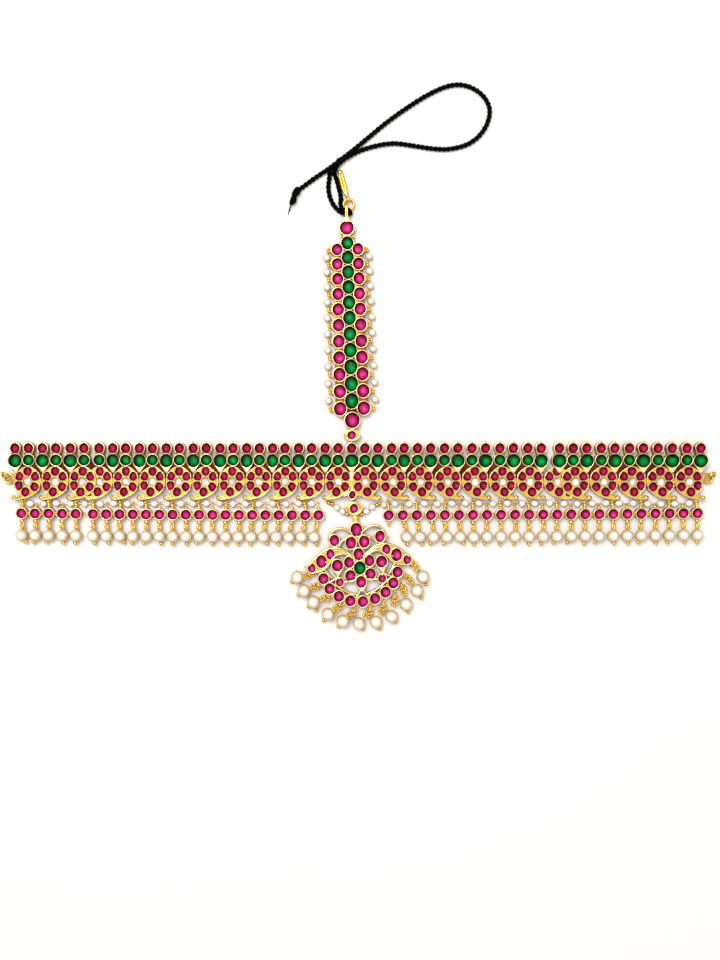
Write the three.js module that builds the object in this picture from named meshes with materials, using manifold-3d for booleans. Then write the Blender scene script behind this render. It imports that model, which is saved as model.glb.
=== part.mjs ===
// A maang tikka with its forehead band, laid out flat on its back.
// Millimetres, +X along the band, +Y towards the hook, +Z up from the surface that it lies on.
// Until the last lines, the origin is the middle of the band's row of mango motifs.

import * as THREE from 'three';
import * as BufferGeometryUtils from 'three/addons/utils/BufferGeometryUtils.js';
import Module from 'manifold-3d';

const wasm = await Module();
wasm.setup();

// Driving sizes of the band
const BAND_HEIGHT = 3.8;
const MOTIF_RISE = 6.15;
const CENTRE_MOTIF_OFFSET = 5.46;
const MOTIF_GAP = 0.2;
const ROW_GAP = 0.15;
const SEAM_CLEARANCE = 0.3;
const SMALL_GREEN_DIAMETER = 5.1;
const SMALL_GREEN_ROW = 8.6;
const LARGE_GREEN_ROW = 8.28;
const LARGE_GREEN_RISE = 2.95;
const LARGE_GREEN_TIP = 4.9;
const TOP_RUBY_WIDTH = 4.6;
const TOP_RUBY_RISE = 2.6;
const TOP_RUBY_DROP = 2.45;
const TOP_RUBY_ROW = 13.45;
const CENTRE_DIAMOND_HALF_WIDTH = 2.0;
const CENTRE_DIAMOND_HALF_HEIGHT = 2.4;
const CENTRE_DIAMOND_ROW = -5.4;

// Coplanar faces that met in a join become one, to within this distance
const MERGE_DISTANCE = 0.002;
const BALL_LET_OUT = 1.12;

// Stones stand on the collets with a table and eight facets
const STONE_RISE = 0.55;
const STONE_SINK = 0.3;
const STONE_RIM = 0.5;
const TABLE_SHARE = 0.55;

// The motifs of each half, from the middle outwards: an inner panel, and an outer one that laps over its end
const LEFT_BAND = {
  side: -1,
  name: 'left',
  innerCount: 10,
  innerPitch: 10.62,
  seamStep: 6.68,
  outerCount: 3,
  outerPitch: 11.02,
  greenShifts: [0, 0, 0, 0.4, 0.5, 0.4, 0.25, 0.1, 0, 0, 0.6, 0.4, 0.45],
  smallGreenMissing: [],
  largeGreenMissing: [10],
  innerLargeGreen: [],
};
const RIGHT_BAND = {
  side: 1,
  name: 'right',
  innerCount: 8,
  innerPitch: 10.98,
  seamStep: 7.12,
  outerCount: 5,
  outerPitch: 11.37,
  greenShifts: [0.2, 0.5, 1.1, 1.3, 1.3, 1.1, 0.9, 0, 0.85, 1.0, 1.1, 1.0, 0.8],
  smallGreenMissing: [8],
  largeGreenMissing: [8],
  innerLargeGreen: [9],
};

// The mango motif's outline, its curl towards -X: shares of its half width, and of its rise above its middle
const MOTIF_OUTLINE = [
  { across: 0.08, up: 1.0 },
  { across: 0.74, up: 0.72 },
  { across: 1.0, up: 0.08 },
  { across: 0.82, up: -0.58 },
  { across: 0.28, up: -0.99 },
  { across: -0.45, up: -1.18 },
  { across: -1.12, up: -1.17 },
  { across: -1.12, up: -0.97 },
  { across: -0.66, up: -0.92 },
  { across: -0.66, up: -0.68 },
  { across: -0.98, up: -0.3 },
  { across: -1.0, up: 0.24 },
  { across: -0.52, up: 0.86 },
];

// The fringe: a chain of collets on each half, each with a pearl drop, under a string of seed pearls
const FRINGE_ROW = -12.7;
const FRINGE_SAG = 0.8;
const FRINGE_REACH = 135;
const FRINGE_COLLET_DIAMETER = 4.7;
const FRINGE_HEIGHT = 3.4;
const FRINGE_LINK_WIDTH = 0.9;
const PEARL_DIAMETER = 5.0;
const PEARL_HANG = 8.75;
const DROP_WIRE_DIAMETER = 0.9;
const PEARL_LEAN = 1.8;
const PEARL_LEAN_STEP = 0.25;
const SEED_STRING_DIAMETER = 2.3;
const SEED_STRING_ROW = -8.85;
const SEED_STRING_STEP = 22.0;
const STRING_SIDES = 8;
const LEFT_FRINGE = {
  side: -1,
  name: 'left',
  start: 13.3,
  innerCount: 18,
  innerPitch: 5.31,
  seamStep: 6.92,
  outerCount: 5,
  outerPitch: 5.43,
  pearlsFrom: 0,
};
const RIGHT_FRINGE = {
  side: 1,
  name: 'right',
  start: 14.8,
  innerCount: 18,
  innerPitch: 5.62,
  seamStep: 5.62,
  outerCount: 5,
  outerPitch: 5.62,
  pearlsFrom: 1,
};

// The strip along the parting: rows of a green stone between two rubies, closer and smaller towards the hook
const STRIP_HEIGHT = 3.4;
const STRIP_FOOT = { x: 0.25, y: 24.5 };
const STRIP_LEAN = 0.028;
const STRIP_ROWS = 11;
const ROW_PITCH_FOOT = 6.9;
const ROW_PITCH_HEAD = 5.75;
const FOOT_RUBY_STEP = 7.75;
const HEAD_RUBY_STEP = 6.1;
const FOOT_RUBY_WIDTH = 6.7;
const FOOT_RUBY_LENGTH = 7.0;
const HEAD_RUBY_DIAMETER = 6.4;
const STRIP_GREEN_WIDTH_FOOT = 6.0;
const STRIP_GREEN_WIDTH_HEAD = 5.4;
const STRIP_RUBY_WIDTH_FOOT = 5.8;
const STRIP_RUBY_WIDTH_HEAD = 5.0;
const STRIP_RUBY_LENGTH_SHARE = 1.08;
const SIDE_RUBY_LAP = 0.25;
const SIDE_RUBY_DROP_SHARE = 0.44;
const CAP_DIAMETER = 2.8;
const CAP_LENGTH = 2.4;
const STEM_WIRE_DIAMETER = 0.6;
const STEM_WIDTH = 0.9;
const STEM_RISE = 3.4;
const STEM_HOLE_START = 106.35;
const STEM_HOLE_END = 110.95;
const STRIP_PEARL_DIAMETER = 3.1;
const STRIP_PEARL_GAP = 0.25;
const STRIP_STRING_STEP = 15.0;

// The link with one ruby between strip and band
const EYE_LINK_WIDTH = 6.9;
const EYE_LINK_LENGTH = 4.4;
const EYE_LINK_HEIGHT = 2.8;
const EYE_RUBY_DIAMETER = 3.4;
const EYE_RIM_WIDTH = 0.7;
const LINK_GAP = 0.25;

// Rings and hook
const HOOK_RING_DIAMETER = 5.2;
const HOOK_RING_WIRE = 1.0;
const HOOK_RING_MEAN_RADIUS = 0.5 * (HOOK_RING_DIAMETER - HOOK_RING_WIRE);
const HOOK_RING_PLACE = { x: -1.2, y: 111.3, z: 1.65 };
const HOOK_BAR_DIAMETER = 2.1;
const HOOK_BAR_LENGTH = 10.0;
const HOOK_BALL_DIAMETER = 2.0;
const HOOK_EYE_DIAMETER = 3.0;
const HOOK_EYE_WIRE = 0.7;
const HOOK_LEAN = 0.26;
const END_RING_DIAMETER = 4.6;
const END_RING_WIRE = 0.9;
const END_RING_LEVEL = 1.6;
const END_EYE_DIAMETER = 2.8;
const END_EYE_WIRE = 0.6;
const END_EYE_ROW = 1.2;
const SECOND_RING_TILT = 1.0;
const SECOND_RING_TURN = 0.65;
const SECOND_RING_STEP = 0.97;
const RING_SIDES = 10;
const WIRE_SIDES = 5;

// The drop under the middle of the band, with a swag of seed pearls to each side
const CENTRE_DROP_WIDTH = 7.2;
const CENTRE_DROP_LENGTH = 5.6;
const CENTRE_DROP_X = 0.9;
const CENTRE_DROP_HEIGHT = 3.0;
const CENTRE_DROP_RUBY_WIDTH = 3.2;
const CENTRE_DROP_RUBY_LENGTH = 3.7;
const SWAG_DIAMETER = 2.2;
const SWAG_STEP = 3.0;
const LEFT_SWAG = [
  [-9.4, -8.7, 1.1],
  [-6.3, -10.4, 1.1],
  [-4.1, -12.0, 1.1],
  [-2.6, -13.4, 1.1],
];
const RIGHT_SWAG = [
  [4.4, -13.4, 1.1],
  [5.9, -11.9, 1.1],
  [8.2, -10.2, 1.1],
  [11.0, -9.1, 1.1],
];

// The pendant, in its own frame: its bail at the origin, -Y down its axis
const PENDANT_HALF_SPAN = 21.1;
const PENDANT_LENGTH = 35.5;
const PENDANT_HEIGHT = 3.4;
const PENDANT_TILT = 0.09;
const PENDANT_STONE_RIM = 0.55;
const PENDANT_WIRE_WIDTH = 0.85;
const BAIL_WIDTH = 2.3;
const BAIL_RISE = 1.1;
// Shares of the half span across and wide, and of the length down and long; a row off the axis stands twice
const PENDANT_STONES = [
  { across: 0, down: 0.122, wide: 0.207, long: 0.149, green: false },
  { across: 0.128, down: 0.262, wide: 0.188, long: 0.135, green: false },
  { across: 0.436, down: 0.221, wide: 0.176, long: 0.123, green: false },
  { across: 0, down: 0.4, wide: 0.186, long: 0.13, green: false },
  { across: 0.194, down: 0.481, wide: 0.176, long: 0.121, green: false },
  { across: 0, down: 0.555, wide: 0.212, long: 0.142, green: true },
  { across: 0.19, down: 0.633, wide: 0.189, long: 0.121, green: false },
  { across: 0, down: 0.713, wide: 0.178, long: 0.126, green: false },
  { across: 0.42, down: 0.505, wide: 0.196, long: 0.127, green: false },
  { across: 0.403, down: 0.695, wide: 0.138, long: 0.089, green: false },
  { across: 0.533, down: 0.372, wide: 0.145, long: 0.113, green: false },
  { across: 0.715, down: 0.444, wide: 0.191, long: 0.138, green: false },
  { across: 0.91, down: 0.51, wide: 0.137, long: 0.101, green: false },
];
const ARC_STONES = 9;
const ARC_CENTRE_DOWN = 0.535;
const ARC_RADIUS_ACROSS = 0.73;
const ARC_RADIUS_DOWN = 0.4;
const ARC_SPREAD = 1.31;
const ARC_STONE_WIDE = 0.184;
const ARC_STONE_LONG = 0.117;
const WING_OUTLINE = [
  { across: 0.0, down: 0.455 },
  { across: 0.25, down: 0.36 },
  { across: 0.53, down: 0.3 },
  { across: 0.72, down: 0.345 },
  { across: 0.95, down: 0.43 },
  { across: 1.0, down: 0.51 },
  { across: 0.9, down: 0.57 },
  { across: 0.73, down: 0.535 },
  { across: 0.58, down: 0.43 },
  { across: 0.3, down: 0.405 },
];
// Wires and webs, from one place to the other
const PENDANT_WIRES = [
  { fromAcross: 0.05, fromDown: 0.2, toAcross: 0.12, toDown: 0.12 },
  { fromAcross: 0.12, fromDown: 0.12, toAcross: 0.3, toDown: 0.085 },
  { fromAcross: 0.3, fromDown: 0.085, toAcross: 0.46, toDown: 0.115 },
  { fromAcross: 0.46, fromDown: 0.115, toAcross: 0.53, toDown: 0.2 },
  { fromAcross: 0.4, fromDown: 0.26, toAcross: 0.3, toDown: 0.37 },
  { fromAcross: 0.42, fromDown: 0.55, toAcross: 0.5, toDown: 0.64 },
  { fromAcross: 0.5, fromDown: 0.64, toAcross: 0.66, toDown: 0.68 },
  { fromAcross: 0.4, fromDown: 0.695, toAcross: 0.22, toDown: 0.63 },
  { fromAcross: 0.4, fromDown: 0.695, toAcross: 0.5, toDown: 0.8 },
  { fromAcross: 0, fromDown: 0.75, toAcross: 0.1, toDown: 0.92 },
  { fromAcross: 0.72, fromDown: 0.5, toAcross: 0.72, toDown: 0.63 },
];

// The pendant's pearl drops, from left to right, by the same shares: the grape of grains and its pearl,
// and how far beyond the grape its link reaches, in millimetres
const DROP_PEARL_DIAMETER = 5.2;
const GRAPE_DIAMETER = 2.2;
const PENDANT_DROPS = [
  { grapeAcross: -1.042, grapeDown: 0.588, pearlAcross: -1.199, pearlDown: 0.595, reach: 1.1 },
  { grapeAcross: -0.9, grapeDown: 0.72, pearlAcross: -1.093, pearlDown: 0.755, reach: 1.9 },
  { grapeAcross: -0.722, grapeDown: 0.86, pearlAcross: -0.932, pearlDown: 0.891, reach: 1.1 },
  { grapeAcross: -0.5, grapeDown: 0.98, pearlAcross: -0.679, pearlDown: 1.042, reach: 1.3 },
  { grapeAcross: -0.24, grapeDown: 1.062, pearlAcross: -0.413, pearlDown: 1.136, reach: 2.5 },
  { grapeAcross: 0.07, grapeDown: 1.075, pearlAcross: -0.113, pearlDown: 1.178, reach: 2.3 },
  { grapeAcross: 0.361, grapeDown: 1.045, pearlAcross: 0.214, pearlDown: 1.178, reach: 2.1 },
  { grapeAcross: 0.605, grapeDown: 0.96, pearlAcross: 0.517, pearlDown: 1.131, reach: 2.6 },
  { grapeAcross: 0.79, grapeDown: 0.853, pearlAcross: 0.813, pearlDown: 1.011, reach: 2.2 },
  { grapeAcross: 0.91, grapeDown: 0.735, pearlAcross: 1.042, pearlDown: 0.867, reach: 2.5 },
  { grapeAcross: 1.036, grapeDown: 0.588, pearlAcross: 1.175, pearlDown: 0.718, reach: 1.1 },
];

// The cord, its knots, and the points of its route
const CORD_DIAMETER = 1.8;
const CORD_SIDES = 8;
const CORD_STEP = 5.0;
const STRAND_STEP = 3.6;
const KNOT_DIAMETER = 3.4;
const END_KNOT_DIAMETER = 3.2;
const LEFT_STRAND_ROUTE = [
  [-8.8, 124.3, 0.9],
  [-9.1, 121.4, 0.9],
  [-9.4, 118.4, 0.9],
  [-9.0, 115.2, 0.9],
  [-8.0, 112.4, 0.9],
  [-6.6, 110.3, 0.95],
  [-5.0, 108.8, 1.4],
  [-3.5, 107.85, 1.65],
  [-2.2, 107.5, 1.65],
  [-1.0, 107.45, 1.65],
];
const RIGHT_STRAND_ROUTE = [
  [-4.9, 111.2, 1.4],
  [-4.85, 112.1, 1.15],
  [-4.8, 113.3, 0.95],
  [-4.95, 115.0, 0.9],
  [-5.25, 117.0, 0.9],
  [-5.8, 119.3, 0.9],
  [-6.3, 121.6, 0.9],
  [-6.9, 124.7, 0.9],
];
const BIG_LOOP_ROUTE = [
  [2.6, 132.1, 0.9],
  [5.8, 133.3, 0.9],
  [10.6, 135.2, 0.9],
  [17.4, 136.0, 0.9],
  [24.6, 135.1, 0.9],
  [31.9, 134.0, 0.9],
  [38.7, 133.7, 0.9],
  [46.0, 135.4, 0.9],
  [51.0, 138.8, 0.9],
  [54.4, 143.8, 0.9],
  [55.5, 149.4, 0.9],
  [53.6, 154.2, 0.9],
  [49.3, 157.9, 0.9],
  [43.7, 159.6, 0.9],
  [37.6, 158.7, 0.9],
  [30.2, 155.3, 0.9],
  [21.8, 150.0, 0.9],
  [14.0, 144.4, 0.9],
  [7.2, 139.0, 0.9],
  [1.5, 134.9, 0.9],
];
const TAIL_ROUTE = [
  [-8.75, 126.2, 0.9],
  [-11.8, 124.1, 0.9],
  [-14.6, 122.2, 0.9],
  [-17.4, 120.2, 0.9],
  [-20.6, 117.8, 0.9],
];
const KNOT_LOW_END = new THREE.Vector3(-8.55, 126.4, 1.7);
const KNOT_HIGH_END = new THREE.Vector3(2.2, 133.4, 1.7);
const END_KNOT_UPPER = new THREE.Vector3(-22.2, 116.3, 1.6);
const END_KNOT_LOWER = new THREE.Vector3(-23.4, 112.9, 1.3);
const FRAYED_END = new THREE.Vector3(-25.6, 107.4, 0.5);

const gold = new THREE.MeshStandardMaterial({ color: 0xe8b93c, roughness: 0.28, metalness: 1.0 });
const pearl = new THREE.MeshStandardMaterial({ color: 0xf3ead6, roughness: 0.22, metalness: 0.0 });
const thread = new THREE.MeshStandardMaterial({ color: 0x111114, roughness: 0.85, metalness: 0.0 });

// Solids from geometries

function toSolid(geometry) {
  const bare = geometry.index ? geometry.toNonIndexed() : geometry.clone();
  bare.deleteAttribute('normal');
  bare.deleteAttribute('uv');
  const merged = BufferGeometryUtils.mergeVertices(bare, 1e-4);
  return new wasm.Manifold(new wasm.Mesh({
    numProp: 3,
    vertProperties: new Float32Array(merged.attributes.position.array),
    triVerts: new Uint32Array(merged.index.array),
  }));
}

function toGeometry(solid) {
  const mesh = solid.asOriginal().simplify(MERGE_DISTANCE).getMesh();
  const geometry = new THREE.BufferGeometry();
  geometry.setAttribute('position', new THREE.BufferAttribute(new Float32Array(mesh.vertProperties), 3));
  geometry.setIndex(new THREE.BufferAttribute(new Uint32Array(mesh.triVerts), 1));
  return geometry;
}

function join(solids) {
  return solids.reduce((whole, next) => whole.add(next));
}

function prism(points, height) {
  const shape = new THREE.Shape(points.map((p) => new THREE.Vector2(p.x, p.y)));
  return toSolid(new THREE.ExtrudeGeometry(shape, { depth: height, bevelEnabled: false, steps: 1 }));
}

function oval(x, y, width, length, sides = 8) {
  const points = [];
  const reach = 1 / Math.cos(Math.PI / sides);
  const start = sides === 6 ? 0 : 0.5;
  for (let i = 0; i < sides; i += 1) {
    const turn = (2 * Math.PI * (i + start)) / sides;
    points.push({
      x: x + 0.5 * width * reach * Math.cos(turn),
      y: y + 0.5 * length * reach * Math.sin(turn),
    });
  }
  return points;
}

function bar(from, to, width, height) {
  const across = new THREE.Vector2(to.x - from.x, to.y - from.y).normalize();
  const half = new THREE.Vector2(-across.y, across.x).multiplyScalar(0.5 * width);
  return prism([
    { x: from.x + half.x, y: from.y + half.y },
    { x: from.x - half.x, y: from.y - half.y },
    { x: to.x - half.x, y: to.y - half.y },
    { x: to.x + half.x, y: to.y + half.y },
  ], height);
}

function stone(x, y, width, length, level) {
  const depth = STONE_RISE + STONE_SINK;
  const geometry = new THREE.CylinderGeometry(TABLE_SHARE, 1, depth, 8, 1);
  geometry.rotateX(Math.PI / 2);
  geometry.rotateZ(Math.PI / 8);
  geometry.scale(0.5 * width, 0.5 * length, 1);
  geometry.translate(x, y, level - STONE_SINK + 0.5 * depth);
  return toSolid(geometry);
}

// Ten sides round an upright axis; the middle band is let out to the full width
function ball(centre, diameter) {
  const geometry = new THREE.SphereGeometry(0.5 * diameter, 10, 3);
  geometry.scale(BALL_LET_OUT, 1, BALL_LET_OUT);
  geometry.rotateX(Math.PI / 2);
  geometry.translate(centre.x, centre.y, centre.z);
  return toSolid(geometry);
}

function rod(from, to, diameter, sides = 3) {
  const direction = new THREE.Vector3().subVectors(to, from);
  const geometry = new THREE.CylinderGeometry(0.5 * diameter, 0.5 * diameter, direction.length(), sides, 1);
  const turn = new THREE.Quaternion().setFromUnitVectors(new THREE.Vector3(0, 1, 0), direction.clone().normalize());
  geometry.applyQuaternion(turn);
  geometry.translate(0.5 * (from.x + to.x), 0.5 * (from.y + to.y), 0.5 * (from.z + to.z));
  return toSolid(geometry);
}

function ring(outerDiameter, wire) {
  return new THREE.TorusGeometry(0.5 * (outerDiameter - wire), 0.5 * wire, WIRE_SIDES, RING_SIDES);
}

function addPiece(parent, name, geometry, material) {
  const mesh = new THREE.Mesh(geometry, material);
  mesh.name = name;
  parent.add(mesh);
  return mesh;
}

function between(a, b, share) {
  return a + (b - a) * share;
}

// The band

function motifX(band, number) {
  const inner = Math.min(number, band.innerCount);
  const outer = number - inner;
  let distance = CENTRE_MOTIF_OFFSET + (inner - 1) * band.innerPitch;
  if (outer > 0) {
    distance += band.seamStep + (outer - 1) * band.outerPitch;
  }
  return band.side * distance;
}

function motifPitch(band, number) {
  return number > band.innerCount ? band.outerPitch : band.innerPitch;
}

function greenX(band, number) {
  return motifX(band, number) - band.side * band.greenShifts[number - 1];
}

function motifOutline(band, number, margin = 0) {
  const halfWidth = 0.5 * (motifPitch(band, number) - MOTIF_GAP) + margin;
  const rise = MOTIF_RISE + margin;
  return MOTIF_OUTLINE.map((p) => ({
    x: motifX(band, number) - band.side * p.across * halfWidth,
    y: p.up * rise,
  }));
}

function largeGreenOutline(x, halfWidth, margin = 0) {
  const half = halfWidth + margin;
  const rise = LARGE_GREEN_RISE + margin;
  const tip = LARGE_GREEN_TIP + 1.5 * margin;
  return [
    { x: x - 0.42 * half, y: LARGE_GREEN_ROW + rise },
    { x: x - half, y: LARGE_GREEN_ROW + 0.4 * rise },
    { x: x - half, y: LARGE_GREEN_ROW - 0.4 * rise },
    { x, y: LARGE_GREEN_ROW - tip },
    { x: x + half, y: LARGE_GREEN_ROW - 0.4 * rise },
    { x: x + half, y: LARGE_GREEN_ROW + 0.4 * rise },
    { x: x + 0.42 * half, y: LARGE_GREEN_ROW + rise },
  ];
}

function topRubyCollet(x) {
  const half = 0.5 * TOP_RUBY_WIDTH;
  return prism([
    { x, y: TOP_RUBY_ROW + TOP_RUBY_RISE },
    { x: x - half, y: TOP_RUBY_ROW + 0.4 * TOP_RUBY_RISE },
    { x: x - 0.8 * half, y: TOP_RUBY_ROW - TOP_RUBY_DROP },
    { x: x + 0.8 * half, y: TOP_RUBY_ROW - TOP_RUBY_DROP },
    { x: x + half, y: TOP_RUBY_ROW + 0.4 * TOP_RUBY_RISE },
  ], BAND_HEIGHT);
}

function smallGreen(x) {
  const width = SMALL_GREEN_DIAMETER;
  return [
    prism(oval(x, SMALL_GREEN_ROW, width, width), BAND_HEIGHT),
    topRubyCollet(x),
  ];
}

function largeGreen(x, halfWidth) {
  const width = 2 * (halfWidth - STONE_RIM);
  const length = 2 * (LARGE_GREEN_RISE - STONE_RIM);
  return [
    prism(largeGreenOutline(x, halfWidth), BAND_HEIGHT),
    stone(x, LARGE_GREEN_ROW, width, length, BAND_HEIGHT),
    topRubyCollet(x),
  ];
}

// The large green collet towards a neighbour fills what the small ones leave, and laps only on its own
function largeGreenPlace(band, number, outward) {
  const own = greenX(band, number);
  const neighbour = number + (outward ? 1 : -1);
  const direction = outward ? band.side : -band.side;
  const open = neighbour > band.innerCount + band.outerCount || band.smallGreenMissing.includes(neighbour);
  const span = open ? motifPitch(band, number) : Math.abs(greenX(band, neighbour) - own);
  return {
    x: own + direction * (0.5 * span - ROW_GAP),
    halfWidth: 0.5 * (span - SMALL_GREEN_DIAMETER),
  };
}

function bandUnit(band, number) {
  const solids = [prism(motifOutline(band, number), BAND_HEIGHT)];
  if (!band.smallGreenMissing.includes(number)) {
    solids.push(...smallGreen(greenX(band, number)));
  }
  if (!band.largeGreenMissing.includes(number)) {
    const place = largeGreenPlace(band, number, true);
    solids.push(...largeGreen(place.x, place.halfWidth));
  }
  if (band.innerLargeGreen.includes(number)) {
    const place = largeGreenPlace(band, number, false);
    solids.push(...largeGreen(place.x, place.halfWidth));
  }
  return join(solids);
}

// The last motif of the inner panel is cut where the outer panel laps over it
function seamCut(band) {
  const number = band.innerCount + 1;
  const cuts = [prism(motifOutline(band, number, SEAM_CLEARANCE), 2 * BAND_HEIGHT)];
  if (band.innerLargeGreen.includes(number)) {
    const place = largeGreenPlace(band, number, false);
    cuts.push(prism(largeGreenOutline(place.x, place.halfWidth, SEAM_CLEARANCE), 2 * BAND_HEIGHT));
  }
  return join(cuts).translate(0, 0, -0.5 * BAND_HEIGHT);
}

function largest(solid) {
  const pieces = solid.decompose();
  return pieces.reduce((best, piece) => (piece.volume() > best.volume() ? piece : best));
}

function endEye(band) {
  const number = band.innerCount + band.outerCount;
  const outline = motifOutline(band, number);
  const edge = band.side * Math.max(...outline.slice(10, 12).map((p) => Math.abs(p.x)));
  const geometry = ring(END_EYE_DIAMETER, END_EYE_WIRE);
  geometry.rotateX(Math.PI / 2);
  geometry.translate(edge + band.side * 0.25 * END_EYE_DIAMETER, END_EYE_ROW, END_RING_LEVEL);
  return { solid: toSolid(geometry), x: edge + band.side * 0.25 * END_EYE_DIAMETER };
}

function buildBandHalf(parent, band) {
  const last = band.innerCount + band.outerCount;
  for (let number = 2; number <= last; number += 1) {
    let unit = bandUnit(band, number);
    if (number === band.innerCount) {
      unit = largest(unit.subtract(seamCut(band)));
    }
    if (number === last) {
      unit = unit.add(endEye(band).solid);
    }
    const label = String(number).padStart(2, '0');
    addPiece(parent, `band_unit_${band.name}_${label}`, toGeometry(unit), gold);
  }
}

function buildBandCentre(parent) {
  const width = 2 * CENTRE_MOTIF_OFFSET - SMALL_GREEN_DIAMETER;
  const diamond = [
    { x: 0, y: CENTRE_DIAMOND_ROW + CENTRE_DIAMOND_HALF_HEIGHT },
    { x: -CENTRE_DIAMOND_HALF_WIDTH, y: CENTRE_DIAMOND_ROW },
    { x: 0, y: CENTRE_DIAMOND_ROW - CENTRE_DIAMOND_HALF_HEIGHT },
    { x: CENTRE_DIAMOND_HALF_WIDTH, y: CENTRE_DIAMOND_ROW },
  ];
  const web = bar({ x: 0, y: CENTRE_DIAMOND_ROW }, { x: 0, y: LARGE_GREEN_ROW }, 1.2, BAND_HEIGHT);
  const solid = join([
    bandUnit(LEFT_BAND, 1),
    bandUnit(RIGHT_BAND, 1),
    ...largeGreen(0, 0.5 * width + 0.1),
    prism(diamond, BAND_HEIGHT),
    web,
  ]);
  addPiece(parent, 'band_centre', toGeometry(solid), gold);
}

// The fringe

function fringeX(fringe, index) {
  const inner = Math.min(index, fringe.innerCount - 1);
  const outer = index - inner;
  let distance = fringe.start + inner * fringe.innerPitch;
  if (outer > 0) {
    distance += fringe.seamStep + (outer - 1) * fringe.outerPitch;
  }
  return fringe.side * distance;
}

function fringeY(x) {
  const share = x / FRINGE_REACH;
  return FRINGE_ROW - FRINGE_SAG * Math.max(0, 1 - share * share);
}

function fringeDrop(fringe, index, x, y) {
  const lean = Math.max(0, PEARL_LEAN - PEARL_LEAN_STEP * index);
  const level = 0.5 * PEARL_DIAMETER;
  const centre = new THREE.Vector3(x + fringe.side * lean, y - PEARL_HANG, level);
  const top = new THREE.Vector3(x, y - 0.4 * FRINGE_COLLET_DIAMETER, level);
  return [ball(centre, PEARL_DIAMETER), rod(top, centre, DROP_WIRE_DIAMETER)];
}

function buildFringe(parent, fringe) {
  const count = fringe.innerCount + fringe.outerCount;
  const solids = [];
  for (let index = 0; index < count; index += 1) {
    const x = fringeX(fringe, index);
    const y = fringeY(x);
    const width = FRINGE_COLLET_DIAMETER;
    solids.push(prism(oval(x, y, width, width, 6), FRINGE_HEIGHT));
    if (index > 0) {
      const before = fringeX(fringe, index - 1);
      const from = { x: before, y: fringeY(before) };
      solids.push(bar(from, { x, y }, FRINGE_LINK_WIDTH, FRINGE_HEIGHT));
    }
    if (index >= fringe.pearlsFrom) {
      solids.push(...fringeDrop(fringe, index, x, y));
    }
  }
  addPiece(parent, `fringe_${fringe.name}`, toGeometry(join(solids)), gold);
}

function tube(points, diameter, step, sides) {
  const curve = new THREE.CatmullRomCurve3(points.map((p) => new THREE.Vector3(...p)), false, 'centripetal');
  const section = [];
  for (let i = 0; i < sides; i += 1) {
    const turn = (2 * Math.PI * (i + 0.5)) / sides;
    section.push(new THREE.Vector2(0.5 * diameter * Math.cos(turn), 0.5 * diameter * Math.sin(turn)));
  }
  const steps = Math.max(2, Math.round(curve.getLength() / step));
  return new THREE.ExtrudeGeometry(new THREE.Shape(section), { steps, bevelEnabled: false, extrudePath: curve });
}

function buildSeedString(parent, fringe) {
  const last = fringe.innerCount + fringe.outerCount - 1;
  const level = 0.5 * SEED_STRING_DIAMETER;
  const from = fringeX(fringe, 0);
  const to = fringeX(fringe, last);
  const points = [];
  for (let i = 0; i <= 4; i += 1) {
    points.push([between(from, to, i / 4), SEED_STRING_ROW, level]);
  }
  const geometry = tube(points, SEED_STRING_DIAMETER, SEED_STRING_STEP, STRING_SIDES);
  addPiece(parent, `seed_pearl_string_${fringe.name}`, geometry, pearl);
}

// The strip along the parting

function stripRow(number) {
  const share = number / (STRIP_ROWS - 1);
  let y = FOOT_RUBY_STEP;
  for (let i = 0; i < number; i += 1) {
    y += between(ROW_PITCH_FOOT, ROW_PITCH_HEAD, i / (STRIP_ROWS - 2));
  }
  const pitch = between(ROW_PITCH_FOOT, ROW_PITCH_HEAD, share);
  const greenWidth = between(STRIP_GREEN_WIDTH_FOOT, STRIP_GREEN_WIDTH_HEAD, share);
  const rubyWidth = between(STRIP_RUBY_WIDTH_FOOT, STRIP_RUBY_WIDTH_HEAD, share);
  return {
    y,
    greenWidth,
    greenLength: pitch + 0.1,
    rubyWidth,
    rubyLength: Math.min(rubyWidth * STRIP_RUBY_LENGTH_SHARE, pitch - ROW_GAP),
    rubyX: 0.5 * (greenWidth + rubyWidth) - SIDE_RUBY_LAP - 0.16 * rubyWidth,
    rubyY: y - SIDE_RUBY_DROP_SHARE * pitch,
    level: 0.5 * STRIP_PEARL_DIAMETER,
  };
}

function setStone(x, y, width, length, height) {
  const rim = 2 * STONE_RIM;
  return [
    prism(oval(x, y, width, length), height),
    stone(x, y, width - rim, length - rim, height),
  ];
}

function stripHeadY() {
  return stripRow(STRIP_ROWS - 1).y + HEAD_RUBY_STEP;
}

// The upright loop at the strip's head, in the strip's own frame: the hook's ring and the cord pass through it
function stemLoop() {
  const wire = STEM_WIRE_DIAMETER;
  const start = STEM_HOLE_START - STRIP_FOOT.y;
  const end = STEM_HOLE_END - STRIP_FOOT.y;
  const frame = (margin) => [
    { x: start - margin, y: -margin },
    { x: end - 0.3 + 0.5 * margin, y: -margin },
    { x: end + margin, y: 0.5 - 0.5 * margin },
    { x: end + margin, y: STEM_RISE - 2 * wire - 0.5 + 0.5 * margin },
    { x: end - 0.3 + 0.5 * margin, y: STEM_RISE - 2 * wire + margin },
    { x: start - margin, y: STEM_RISE - 2 * wire + margin },
  ];
  const strap = prism(frame(wire), STEM_WIDTH);
  const hole = prism(frame(0), 3 * STEM_WIDTH).translate(0, 0, -STEM_WIDTH);
  return strap.subtract(hole).translate(0, wire, 0).translate(0, 0, -0.5 * STEM_WIDTH).rotate(90, 0, 90);
}

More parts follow.
